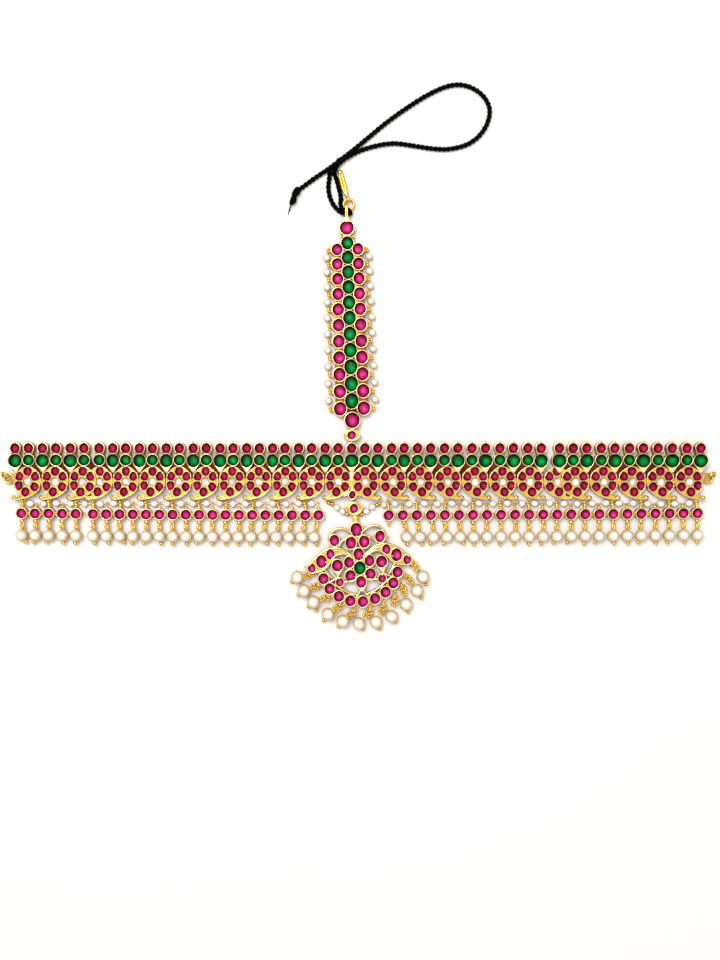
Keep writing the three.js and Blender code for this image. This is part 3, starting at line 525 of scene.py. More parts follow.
def pick_edges(piece: bpy.types.Object, level: float, sharp: float) -> None:
    """Selects the sharp edges at one height, in edit mode.

    Args:
        piece: The piece.
        level: The height, in metres.
        sharp: The least angle between an edge's faces.
    """
    bpy.ops.mesh.select_all(action="DESELECT")
    mesh = bmesh.from_edit_mesh(piece.data)
    for edge in mesh.edges:
        flat = all(abs(vertex.co.z - level) < 1e-6 for vertex in edge.verts)
        if flat and len(edge.link_faces) == 2 and edge.calc_face_angle() > sharp:
            edge.select_set(True)
    bmesh.update_edit_mesh(piece.data)


def dress(piece: bpy.types.Object, material: bpy.types.Material, angle: float = 0.9) -> bpy.types.Object:
    """Gives a piece its finish and smooth faces.

    Args:
        piece: The piece.
        material: The finish.
        angle: Edges sharper than this stay sharp.

    Returns:
        The piece.
    """
    piece.data.materials.clear()
    piece.data.materials.append(material)
    select_only(piece)
    bpy.ops.object.shade_smooth_by_angle(angle=angle)
    return piece


def oval(width: float, length: float, sides: int = 24, x: float = 0.0, y: float = 0.0) -> list[Point]:
    """Gives an oval outline.

    Args:
        width: Its width.
        length: Its length.
        sides: How many points it has.
        x: Its middle across.
        y: Its middle along.

    Returns:
        The outline's points.
    """
    turns = (FULL_TURN * step / sides for step in range(sides))
    return [(x + 0.5 * width * math.cos(t), y + 0.5 * length * math.sin(t)) for t in turns]


def drawn_out(width: float, length: float, tip: float, direction: float, sides: int = 28) -> list[Point]:
    """Gives an oval outline with one pointed end.

    Args:
        width: Its width.
        length: Its length without the point.
        tip: How far the point stands out.
        direction: 1 for a point towards +Y, -1 for one towards -Y.
        sides: How many points it has.

    Returns:
        The outline's points.
    """
    points = []
    for step in range(sides):
        turn = FULL_TURN * step / sides
        away = math.pi - abs(turn - math.pi)
        extra = tip * math.exp(-((away / 0.42) ** 2))
        along = 0.5 * length * math.cos(turn) + extra
        points.append((0.5 * width * math.sin(turn), direction * along))
    return points if direction < 0 else points[::-1]


def rounded(points: Sequence[Point], steps: int = 3) -> list[Point]:
    """Gives a closed outline with its corners eased by a curve through its points.

    Args:
        points: The corners.
        steps: Points of the curve to each corner.

    Returns:
        The eased outline.
    """
    eased = []
    count = len(points)
    for place in range(count):
        before, start, end, after = (Vector(points[(place + k) % count]) for k in (-1, 0, 1, 2))
        for step in range(steps):
            t = step / steps
            curve = 2 * start + (end - before) * t
            curve += (2 * before - 5 * start + 4 * end - after) * t**2
            curve += (3 * start - before - 3 * end + after) * t**3
            eased.append((0.5 * curve.x, 0.5 * curve.y))
    return eased


def plate(outline: Sequence[Point], base: float, top: float) -> bpy.types.Object:
    """Models a flat plate of any outline, from a disc that is shaped and extruded.

    Args:
        outline: Its outline, in millimetres.
        base: Height of its foot, in millimetres.
        top: Height of its face, in millimetres.

    Returns:
        The plate, with its face selected in edit mode's memory.
    """
    deselect_all()
    bpy.ops.mesh.primitive_circle_add(vertices=len(outline), radius=MM, fill_type="NGON")
    piece = bpy.context.object
    for vertex, (x, y) in zip(piece.data.vertices, outline):
        vertex.co = (x * MM, y * MM, base * MM)
    with editing(piece):
        bpy.ops.mesh.select_all(action="SELECT")
        bpy.ops.mesh.extrude_region_move(TRANSFORM_OT_translate={"value": (0, 0, (top - base) * MM)})
    return piece


def ease_rim(piece: bpy.types.Object, top: float, width: float = 0.14, segments: int = 2) -> None:
    """Rounds the sharp edges of a plate's face and sets its faces outwards.

    Args:
        piece: The plate.
        top: Height of its face, in millimetres.
        width: Width of the rounding, in millimetres.
        segments: Steps of the rounding.
    """
    with editing(piece):
        pick_edges(piece, top * MM, 0.6)
        bpy.ops.mesh.bevel(offset=width * MM, segments=segments, affect="EDGES")
        bpy.ops.mesh.select_all(action="SELECT")
        bpy.ops.mesh.normals_make_consistent(inside=False)


def collet(outline: Sequence[Point], stone: Point, base: float, top: float, seat: float = 0.5,
           middle: Point = (0.0, 0.0), metal: bpy.types.Material | None = None) -> bpy.types.Object:
    """Models a stone's setting: a plate with a rim round an oval seat.

    Args:
        outline: Its outline, in millimetres.
        stone: Width and length of the seat.
        base: Height of its foot.
        top: Height of its rim.
        seat: Depth of the seat.
        middle: Middle of the seat.
        metal: Its finish, or none for bright gold.

    Returns:
        The setting.
    """
    piece = plate(outline, base, top)
    with editing(piece) as mesh:
        bpy.ops.mesh.inset(thickness=0.05 * MM)
        mesh = bmesh.from_edit_mesh(piece.data)
        for vertex in (v for v in mesh.verts if v.select):
            turn = math.atan2((vertex.co.y / MM - middle[1]) / stone[1], (vertex.co.x / MM - middle[0]) / stone[0])
            vertex.co.x = (middle[0] + 0.5 * stone[0] * math.cos(turn)) * MM
            vertex.co.y = (middle[1] + 0.5 * stone[1] * math.sin(turn)) * MM
        bmesh.update_edit_mesh(piece.data)
        bpy.ops.mesh.extrude_region_move(TRANSFORM_OT_translate={"value": (0, 0, -seat * MM)})
    ease_rim(piece, top)
    return dress(piece, metal or Finishes.gold)


def cabochon(width: float, length: float, base: float, rise: float, tint: Tint, x: float = 0.0,
             y: float = 0.0) -> bpy.types.Object:
    """Models a low domed stone, from a disc that is extruded and inset.

    Args:
        width: Its width, in millimetres.
        length: Its length.
        base: Height of its foot.
        rise: How far its dome stands above its foot.
        tint: Its colour.
        x: Its middle across.
        y: Its middle along.

    Returns:
        The stone.
    """
    piece = plate(oval(2.0, 2.0, 20), 0.0, 0.3)
    with editing(piece):
        for thickness, lift in ((0.1, 0.28), (0.16, 0.22), (0.24, 0.14)):
            bpy.ops.mesh.inset(thickness=thickness * MM)
            bpy.ops.transform.translate(value=(0, 0, lift * MM))
        bpy.ops.mesh.poke(offset=0.04 * MM)
        bpy.ops.mesh.select_all(action="SELECT")
        bpy.ops.mesh.normals_make_consistent(inside=False)
    # The stone map holds each point's place across the dome, which the stone finish turns into painted highlight and
    # painted shade.
    layer = piece.data.uv_layers.new(name="stone")
    for loop in piece.data.loops:
        place = piece.data.vertices[loop.vertex_index].co / MM
        layer.data[loop.index].uv = (0.5 * place.x + 0.5, 0.5 * place.y + 0.5)
    piece.data.transform(Matrix.Diagonal((0.5 * width, 0.5 * length, rise, 1.0)))
    piece.data.transform(Matrix.Translation((x * MM, y * MM, base * MM)))
    return dress(piece, Finishes.stones[tint], 1.2)


def grain(diameter: float, x: float = 0.0, y: float = 0.0, z: float = 0.0) -> bpy.types.Object:
    """Models a gold ball, a little flattened where it was soldered.

    Args:
        diameter: Its diameter, in millimetres.
        x: Its middle across.
        y: Its middle along.
        z: Its middle's height.

    Returns:
        The ball.
    """
    deselect_all()
    bpy.ops.mesh.primitive_ico_sphere_add(subdivisions=2, radius=0.5 * diameter * MM)
    piece = bpy.context.object
    piece.data.transform(Matrix.Diagonal((1.0, 1.0, 0.94, 1.0)))
    piece.data.transform(Matrix.Translation((x * MM, y * MM, z * MM)))
    return dress(piece, Finishes.wire, 3.0)


def pearl(diameter: float, x: float = 0.0, y: float = 0.0, z: float = 0.0, fine: bool = True) -> bpy.types.Object:
    """Models a pearl, a little out of round, with its poles along Y.

    Args:
        diameter: Its diameter, in millimetres.
        x: Its middle across.
        y: Its middle along.
        z: Its middle's height.
        fine: Whether it is one of the large ones.

    Returns:
        The pearl.
    """
    deselect_all()
    count = (24, 14) if fine else (14, 9)
    bpy.ops.mesh.primitive_uv_sphere_add(segments=count[0], ring_count=count[1], radius=0.5 * diameter * MM)
    piece = bpy.context.object
    with editing(piece):
        bpy.ops.mesh.select_all(action="SELECT")
        bpy.ops.transform.rotate(value=math.pi / 2, orient_axis="X", center_override=(0, 0, 0))
        bpy.ops.transform.resize(value=(1.02, 0.97, 1.0))
    for layer in list(piece.data.uv_layers):
        piece.data.uv_layers.remove(layer)
    # The map's second coordinate is the share of height, which the pearl finish turns into painted light on the crown
    # and painted shade round the girth.
    layer = piece.data.uv_layers.new(name="stone")
    for loop in piece.data.loops:
        place = piece.data.vertices[loop.vertex_index].co / (diameter * MM)
        layer.data[loop.index].uv = (place.x + 0.5, place.z + 0.5)
    piece.data.transform(Matrix.Translation((x * MM, y * MM, z * MM)))
    return dress(piece, Finishes.pearl if fine else Finishes.seed, 3.0)


def wire_ring(across: float, wire: float, sides: int = 20, wire_sides: int = 8) -> bpy.types.Object:
    """Models a flat ring of round wire.

    Args:
        across: Its outer diameter, in millimetres.
        wire: The wire's diameter.
        sides: Steps round the ring.
        wire_sides: Steps round the wire.

    Returns:
        The ring.
    """
    deselect_all()
    bpy.ops.mesh.primitive_torus_add(
        major_radius=0.5 * (across - wire) * MM,
        minor_radius=0.5 * wire * MM,
        major_segments=sides,
        minor_segments=wire_sides,
    )
    return dress(bpy.context.object, Finishes.wire, 3.0)


def bent_wire(points: Sequence[Sequence[float]], diameter: float, material: bpy.types.Material | None = None,
              sides: int = 2, smooth: int = 4) -> bpy.types.Object:
    """Bends a wire through points.

    Args:
        points: The points, in millimetres.
        diameter: The wire's diameter.
        material: Its finish, or none for gold wire.
        sides: Steps of the wire's roundness.
        smooth: Steps between points.

    Returns:
        The wire as a mesh.
    """
    curve = bpy.data.curves.new("wire", "CURVE")
    curve.dimensions = "3D"
    curve.bevel_depth = 0.5 * diameter * MM
    curve.bevel_resolution = sides
    curve.resolution_u = smooth
    curve.use_fill_caps = True
    spline = curve.splines.new("NURBS")
    spline.points.add(len(points) - 1)
    for target, point in zip(spline.points, points):
        target.co = (*(value * MM for value in point), 1.0)
    spline.use_endpoint_u = True
    spline.order_u = min(4, len(points))
    piece = bpy.data.objects.new("wire", curve)
    bpy.context.collection.objects.link(piece)
    select_only(piece)
    bpy.ops.object.convert(target="MESH")
    return dress(bpy.context.object, material or Finishes.wire, 1.1)


def copy_at(model: bpy.types.Object, x: float = 0.0, y: float = 0.0, z: float = 0.0, turn: float = 0.0,
            stretch: tuple[float, float, float] = (1.0, 1.0, 1.0)) -> bpy.types.Object:
    """Copies a model to its place, with a mesh of its own.

    Args:
        model: The model.
        x: Place across, in millimetres.
        y: Place along.
        z: Height.
        turn: Turn about the upright axis.
        stretch: Shares of the model's size.

    Returns:
        The copy.
    """
    piece = model.copy()
    piece.data = model.data.copy()
    bpy.context.collection.objects.link(piece)
    move = Matrix.Translation((x * MM, y * MM, z * MM))
    move = move @ Matrix.Rotation(turn, 4, "Z") @ Matrix.Diagonal((*stretch, 1.0))
    piece.data.transform(move)
    if stretch[0] * stretch[1] * stretch[2] < 0:
        piece.data.flip_normals()
        # A mirrored copy turns its maps back across, so the stones' painted shade stays on the upper left.
        for layer in piece.data.uv_layers:
            for corner in layer.data:
                corner.uv.x = 1.0 - corner.uv.x
    return piece


def join(pieces: Sequence[bpy.types.Object]) -> bpy.types.Object:
    """Joins pieces to one object.

    Args:
        pieces: The pieces.

    Returns:
        The object.
    """
    deselect_all()
    for piece in pieces:
        piece.select_set(True)
    bpy.context.view_layer.objects.active = pieces[0]
    bpy.ops.object.join()
    return pieces[0]


def discard(models: Sequence[bpy.types.Object]) -> None:
    """Deletes models that only served for copies."""
    for model in models:
        bpy.data.objects.remove(model, do_unlink=True)


def set_stone(outline: Sequence[Point], stone: Point, base: float, top: float, tint: Tint,
              middle: Point = (0.0, 0.0), metal: bpy.types.Material | None = None) -> bpy.types.Object:
    """Models a setting with its stone.

    Args:
        outline: The setting's outline, in millimetres.
        stone: Width and length of the stone.
        base: Height of the setting's foot.
        top: Height of its rim.
        tint: The stone's colour.
        middle: Middle of the stone.
        metal: The setting's finish, or none for bright gold.

    Returns:
        The set stone.
    """
    setting = collet(outline, stone, base, top, 0.55, middle, metal)
    dome = cabochon(stone[0] + 0.08, stone[1] + 0.08, top - 0.6, 0.68, tint, *middle)
    return join([setting, dome])


def finish_piece(name: str, pieces: Sequence[bpy.types.Object], nodes: Sequence[str],
                 place: Matrix | None = None) -> bpy.types.Object:
    """Joins pieces to the one that stands for CAD nodes, at its place in the jewel.

    Args:
        name: The piece's name.
        pieces: What it is joined from.
        nodes: The CAD nodes that it stands for.
        place: Where the piece's own frame lies in the jewel.

    Returns:
        The finished piece.
    """
    piece = join(pieces)
    piece.name = name
    piece.data.name = name
    piece.data.transform(Matrix.Translation(ORIGIN) @ (place or Matrix.Identity(4)))
    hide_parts(*nodes)
    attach(piece, "root")
    LOG.info("%s: %d faces", name, len(piece.data.polygons))
    return piece


@dataclass
class Studio:
    """Camera, lights and floor.

    Attributes:
        picture: Width and height of the picture, in pixels.
        pixel: Size of a pixel at the stones, in millimetres.
        row: The pixel at the middle of the motif row.
        distance: From the stones up to the camera, in millimetres.
        level: Height of the stones.
    """

    picture: Point = (720.0, 960.0)
    pixel: float = 0.4
    row: Point = (351.7, 481.5)
    distance: float = 450.0
    level: float = 3.5
    sensor: float = 36.0

    def camera(self) -> None:
        """Places the camera straight above the middle of the picture."""
        deselect_all()
        x = (0.5 * self.picture[0] - self.row[0]) * self.pixel * MM
        y = (self.row[1] - 0.5 * self.picture[1]) * self.pixel * MM
        height = (self.distance + self.level) * MM
        bpy.ops.object.camera_add(location=(ORIGIN.x + x, ORIGIN.y + y, height), rotation=(0, 0, 0))
        camera = bpy.context.object
        camera.data.sensor_width = self.sensor
        camera.data.lens = self.sensor * self.distance / (self.picture[1] * self.pixel)
        camera.data.clip_start = 0.01
        camera.data.clip_end = 10.0
        bpy.context.scene.camera = camera

    def floor(self) -> None:
        """Lays the pale floor."""
        deselect_all()
        bpy.ops.mesh.primitive_plane_add(size=6.0, location=(0, 0, -0.00002))
        ground = bpy.context.object
        ground.name = "floor"
        material, bench, shader = new_material("pale_floor")
        work = add_handwork(bench, 6.0, 300.0)
        tone = bench.ramp(work.outputs["Tone"], ((0.3, (0.96, 0.95, 0.94)), (0.7, (0.97, 0.96, 0.95))))
        bench.link(tone, shader.inputs["Base Color"])
        shader.inputs["Roughness"].default_value = 0.7
        ground.data.materials.append(material)

    def light(self, name: str, place: Sequence[float], size: float, power: float,
              colour: Sequence[float]) -> None:
        """Hangs one soft light that faces the jewel.

        Args:
            name: Its name.
            place: Where it hangs, in metres.
            size: Its width, in metres.
            power: Its power, in watts.
            colour: Its colour.
        """
        deselect_all()
        bpy.ops.object.light_add(type="AREA", location=place)
        lamp = bpy.context.object
        lamp.name = name
        lamp.data.shape = "DISK"
        lamp.data.size = size
        lamp.data.energy = power
        lamp.data.color = colour
        lamp.rotation_mode = "QUATERNION"
        lamp.rotation_quaternion = (ORIGIN - Vector(place)).to_track_quat("-Z", "Y")

    def build(self) -> None:
        """Builds the studio."""
        self.camera()
        self.floor()
        self.light("key_light", (-0.24, 0.32, 0.9), 0.6, 6.0, (0.97, 0.985, 1.0))
        self.light("ceiling_light", (0.0, 0.0, 1.1), 1.6, 5.8, (1.0, 0.985, 0.965))
        self.light("fill_light", (0.55, -0.5, 0.7), 0.8, 1.2, (1.0, 0.95, 0.9))
        world = bpy.data.worlds.new("studio_air")
        world.use_nodes = True
        world.node_tree.nodes["Background"].inputs["Color"].default_value = (1.0, 0.93, 0.87, 1.0)
        world.node_tree.nodes["Background"].inputs["Strength"].default_value = 0.3
        bpy.context.scene.world = world
        bpy.context.scene.view_settings.view_transform = "Standard"


@dataclass
class Cord:
    """The black tie cord.

    Attributes:
        diameter: The cord's diameter, in millimetres; not used.
        pitch: Length of one turn of its plies.
        left_strand: Points from the knot down to the upright loop, as in the part's source.
        right_strand: Points from the upright loop back to the knot.
        big_loop: Points of the big loop.
        tail: Points of the tail.
    """

    diameter: float = 1.8
    pitch: float = 3.5
    left_strand: tuple = (
        (-8.8, 124.3, 0.9), (-9.1, 121.4, 0.9), (-9.4, 118.4, 0.9), (-9.0, 115.2, 0.9), (-8.0, 112.4, 0.9),
        (-6.6, 110.3, 0.95), (-5.0, 108.8, 1.4), (-3.5, 107.85, 1.65), (-2.2, 107.5, 1.65), (-1.0, 107.45, 1.65),
    )
    right_strand: tuple = (
        (-4.5, 111.2, 1.4), (-4.35, 113.3, 0.95), (-4.5, 115.0, 0.9),
        (-4.9, 117.0, 0.9), (-5.55, 119.3, 0.9), (-6.15, 121.6, 0.9), (-6.9, 124.7, 0.9),
    )
    big_loop: tuple = (
        (2.7, 132.8, 0.9), (10.6, 135.2, 0.9), (17.4, 136.0, 0.9), (24.6, 135.1, 0.9),
        (31.9, 134.0, 0.9), (38.7, 133.7, 0.9), (46.0, 135.4, 0.9), (51.0, 138.8, 0.9), (54.4, 143.8, 0.9),
        (55.5, 149.4, 0.9), (53.6, 154.2, 0.9), (49.3, 157.9, 0.9), (43.7, 159.6, 0.9), (37.6, 158.7, 0.9),
        (30.2, 155.3, 0.9), (21.8, 150.0, 0.9), (14.0, 144.4, 0.9), (7.2, 138.8, 0.9), (1.7, 134.2, 0.9),
    )
    tail: tuple = ((-8.75, 126.2, 0.9), (-11.8, 124.1, 0.9), (-14.6, 122.2, 0.9), (-17.4, 120.2, 0.9),
                   (-20.6, 117.8, 0.9))
    end_knot: tuple = ((-22.2, 116.3, 1.6), (-23.5, 113.1, 1.5))
    frayed_end: tuple = (-25.6, 107.4, 0.5)
    knot: tuple = ((-8.4, 126.1, 1.7), (2.6, 133.8, 1.7))

    def route(self) -> list[Vector]:
        """Gives the cord's route, from the knot round both loops and out along the tail."""
        fold = ((-0.4, 107.8, 1.75), (-0.5, 108.4, 2.05), (-1.2, 108.75, 2.2), (-2.5, 108.95, 2.2), (-3.8, 109.85, 1.9))
        points = [(-7.9, 126.9, 1.3), *self.left_strand, *fold, *self.right_strand]
        points += [(-4.2, 128.6, 1.5), *self.big_loop, (-2.5, 130.6, 1.9), *self.tail, (-21.8, 116.8, 1.3)]
        return [Vector(p) for p in points]

    def even(self, points: Sequence[Vector], step: float) -> list[Vector]:
        """Gives evenly spaced points on a smooth curve through the route.

        Args:
            points: The route.
            step: Spacing, in millimetres.

        Returns:
            The points.
        """
        fine = []
        last = len(points) - 1
        for place in range(last):
            chosen = (points[max(0, min(last, place + k))] for k in (-1, 0, 1, 2))
            before, start, end, after = chosen
            for part in range(24):
                t = part / 24
                curve = 2 * start + (end - before) * t
                curve += (2 * before - 5 * start + 4 * end - after) * t**2
                curve += (3 * start - before - 3 * end + after) * t**3
                fine.append(0.5 * curve)
        fine.append(points[-1])
        spaced = [fine[0]]
        walked = 0.0
        for here, there in zip(fine, fine[1:]):
            gap = (there - here).length
            while walked + gap >= step:
                share = (step - walked) / gap
                here = here.lerp(there, share)
                spaced.append(here)
                gap = (there - here).length
                walked = 0.0
            walked += gap
        return spaced

    def ply(self, line: Sequence[Vector], phase: float, offset: float, thick: float) -> bpy.types.Object:
        """Winds one ply round the cord's line.

        Args:
            line: The cord's line.
            phase: Where its turn starts.
            offset: Its distance from the line, in millimetres.
            thick: Its diameter.

        Returns:
            The ply as a mesh.
        """
        points = []
        walked = 0.0
        for place, here in enumerate(line):
            ahead = line[min(place + 1, len(line) - 1)] - line[max(place - 1, 0)]
            along = ahead.normalized()
            across = Vector((0, 0, 1)).cross(along).normalized()
            upward = along.cross(across)
            if place:
                walked += (here - line[place - 1]).length
            turn = FULL_TURN * walked / self.pitch + phase
            points.append(here + offset * (math.cos(turn) * across + 0.55 * math.sin(turn) * upward))
        return bent_wire(points, thick, Finishes.thread, 1, 1)

    def lump(self, place: Sequence[float], width: float, length: float, heading: float) -> bpy.types.Object:
        """Winds a tight lump of thread round the cord.

        Args:
            place: Its middle.
            width: Its width, in millimetres.
            length: Its length.
            heading: The cord's heading there, from +Y about the upright axis.

        Returns:
            The lump.
        """
        rings = []
        count = 5
        for turn in range(count):
            share = (turn + 0.5) / count - 0.5
            reach = 0.5 * width * math.cos(1.9 * share) - 0.3
            points = []
            for step in range(13):
                angle = FULL_TURN * step / 12
                lean = 0.35 * math.cos(angle + turn)
                points.append((reach * math.cos(angle), length * share * 0.8 + lean, 0.9 * reach * math.sin(angle)))
            rings.append(bent_wire(points, 0.26 * length, Finishes.thread, 2, 2))
        piece = join(rings)
        move = Matrix.Translation([value * MM for value in place])
        piece.data.transform(move @ Matrix.Rotation(heading, 4, "Z"))
        return piece

    def build(self) -> None:
        """Builds the cord and its knots."""
        route = self.route()
        line = self.even(route, 0.36)
        plies = [self.ply(line, math.pi * k, 0.58, 1.08) for k in range(2)]
        nodes = ["cord_left_strand", "cord_right_strand", "cord_big_loop", "cord_tail"]
        cord = finish_piece("tie_cord", plies, nodes)
        knot = self.tie_knot()
        end = self.tail_knot()

    def tie_knot(self) -> bpy.types.Object:
        """Winds the long tie knot."""
        start, end = (Vector(p) for p in self.knot)
        along = (end - start).normalized()
        across = Vector((0, 0, 1)).cross(along)
        parts = []
        for phase in (0.0, math.pi):
            line = []
            for step in range(41):
                share = step / 40
                swell = math.sin(math.pi * share) ** 0.9
                turn = phase + 0.3 + FULL_TURN * 1.4 * share
                reach = across * (0.5 * swell * math.cos(turn)) + Vector((0, 0, 0.5 * swell * math.sin(turn)))
                line.append(start.lerp(end, share) + reach)
            parts += [self.ply(line, math.pi * k, 0.42, 1.0) for k in range(2)]
        for share, lean in ((0.28, 0.5),):
            middle = start.lerp(end, share)
            turns = []
            for step in range(13):
                angle = FULL_TURN * step / 12
                reach = across * (1.2 * math.cos(angle)) + Vector((0, 0, 1.1 * math.sin(angle)))
                turns.append(middle + reach + along * (lean * math.cos(angle)))
            parts.append(bent_wire(turns, 0.95, Finishes.thread, 1, 2))
        return finish_piece("tie_knot", parts, ["cord_knot"])

    def tail_knot(self) -> bpy.types.Object:
        """Winds the knots and the loose thread at the tail's end."""
        upper, lower = self.end_knot
        parts = [self.lump(upper, 2.8, 4.0, -0.6), self.lump(lower, 2.3, 4.4, -0.35)]
        tip = Vector(self.frayed_end)
        start = Vector(lower)
        rng = random.Random(SEED)
        for strand in range(3):
            bow = Vector((rng.uniform(-0.9, -0.3), rng.uniform(-0.3, 0.3), 0.0))
            shorter = tip.lerp(start, 0.22 * strand)
            middle = start.lerp(shorter, 0.6) + bow
            middle.z = 0.5
            parts.append(bent_wire([start, start.lerp(middle, 0.6), middle, shorter], 0.3, Finishes.thread, 1, 4))
        return finish_piece("tail_knot", parts, ["cord_end_knot"])


@dataclass
class BandHalf:
    """Where the motifs of one half of the band lie, counted from the middle outwards."""

    side: int
    name: str
    inner_count: int
    inner_pitch: float
    seam_step: float
    outer_count: int
    outer_pitch: float
    green_shifts: tuple[float, ...]
    bare: tuple[int, ...]
    no_large: tuple[int, ...]
    two_large: tuple[int, ...]
    first: float = 5.46

    def motif_x(self, number: int) -> float:
        """Gives a motif's place along the band."""
        inner = min(number, self.inner_count)
        distance = self.first + (inner - 1) * self.inner_pitch
        if number > inner:
            distance += self.seam_step + (number - inner - 1) * self.outer_pitch
        return self.side * distance

    def pitch(self, number: int) -> float:
        """Gives the pitch of the panel that a motif belongs to."""
        return self.outer_pitch if number > self.inner_count else self.inner_pitch

    def green_x(self, number: int) -> float:
        """Gives the place of the small green stone over a motif."""
        return self.motif_x(number) - self.side * self.green_shifts[number - 1]

    def count(self) -> int:
        """Gives how many motifs the half has."""
        return self.inner_count + self.outer_count

    def large_green(self, number: int, outward: bool, small: float, gap: float) -> Point:
        """Gives place and half width of the large green stone beside a small one.

        Args:
            number: The motif's number.
            outward: Whether it is the one away from the middle.
            small: Diameter of the small stones' settings.
            gap: The gap to the next unit.

        Returns:
            Its place along the band and its half width.
        """
        own = self.green_x(number)
        neighbour = number + (1 if outward else -1)
        direction = self.side if outward else -self.side
        open_end = neighbour > self.count() or neighbour in self.bare
        span = self.pitch(number) if open_end else abs(self.green_x(neighbour) - own)
        return own + direction * (0.5 * span - gap), 0.5 * (span - small)


LEFT = BandHalf(
    -1, "left", 10, 10.62, 6.68, 3, 11.02, (0, 0, 0, 0.4, 0.5, 0.4, 0.25, 0.1, 0, 0, 0.6, 0.4, 0.45), (), (10,), ()
)
RIGHT = BandHalf(
    1, "right", 8, 10.98, 7.12, 5, 11.37, (0.2, 0.5, 1.1, 1.3, 1.3, 1.1, 0.9, 0, 0.85, 1.0, 1.1, 1.0, 0.8), (8,),
    (8,), (9,)
)


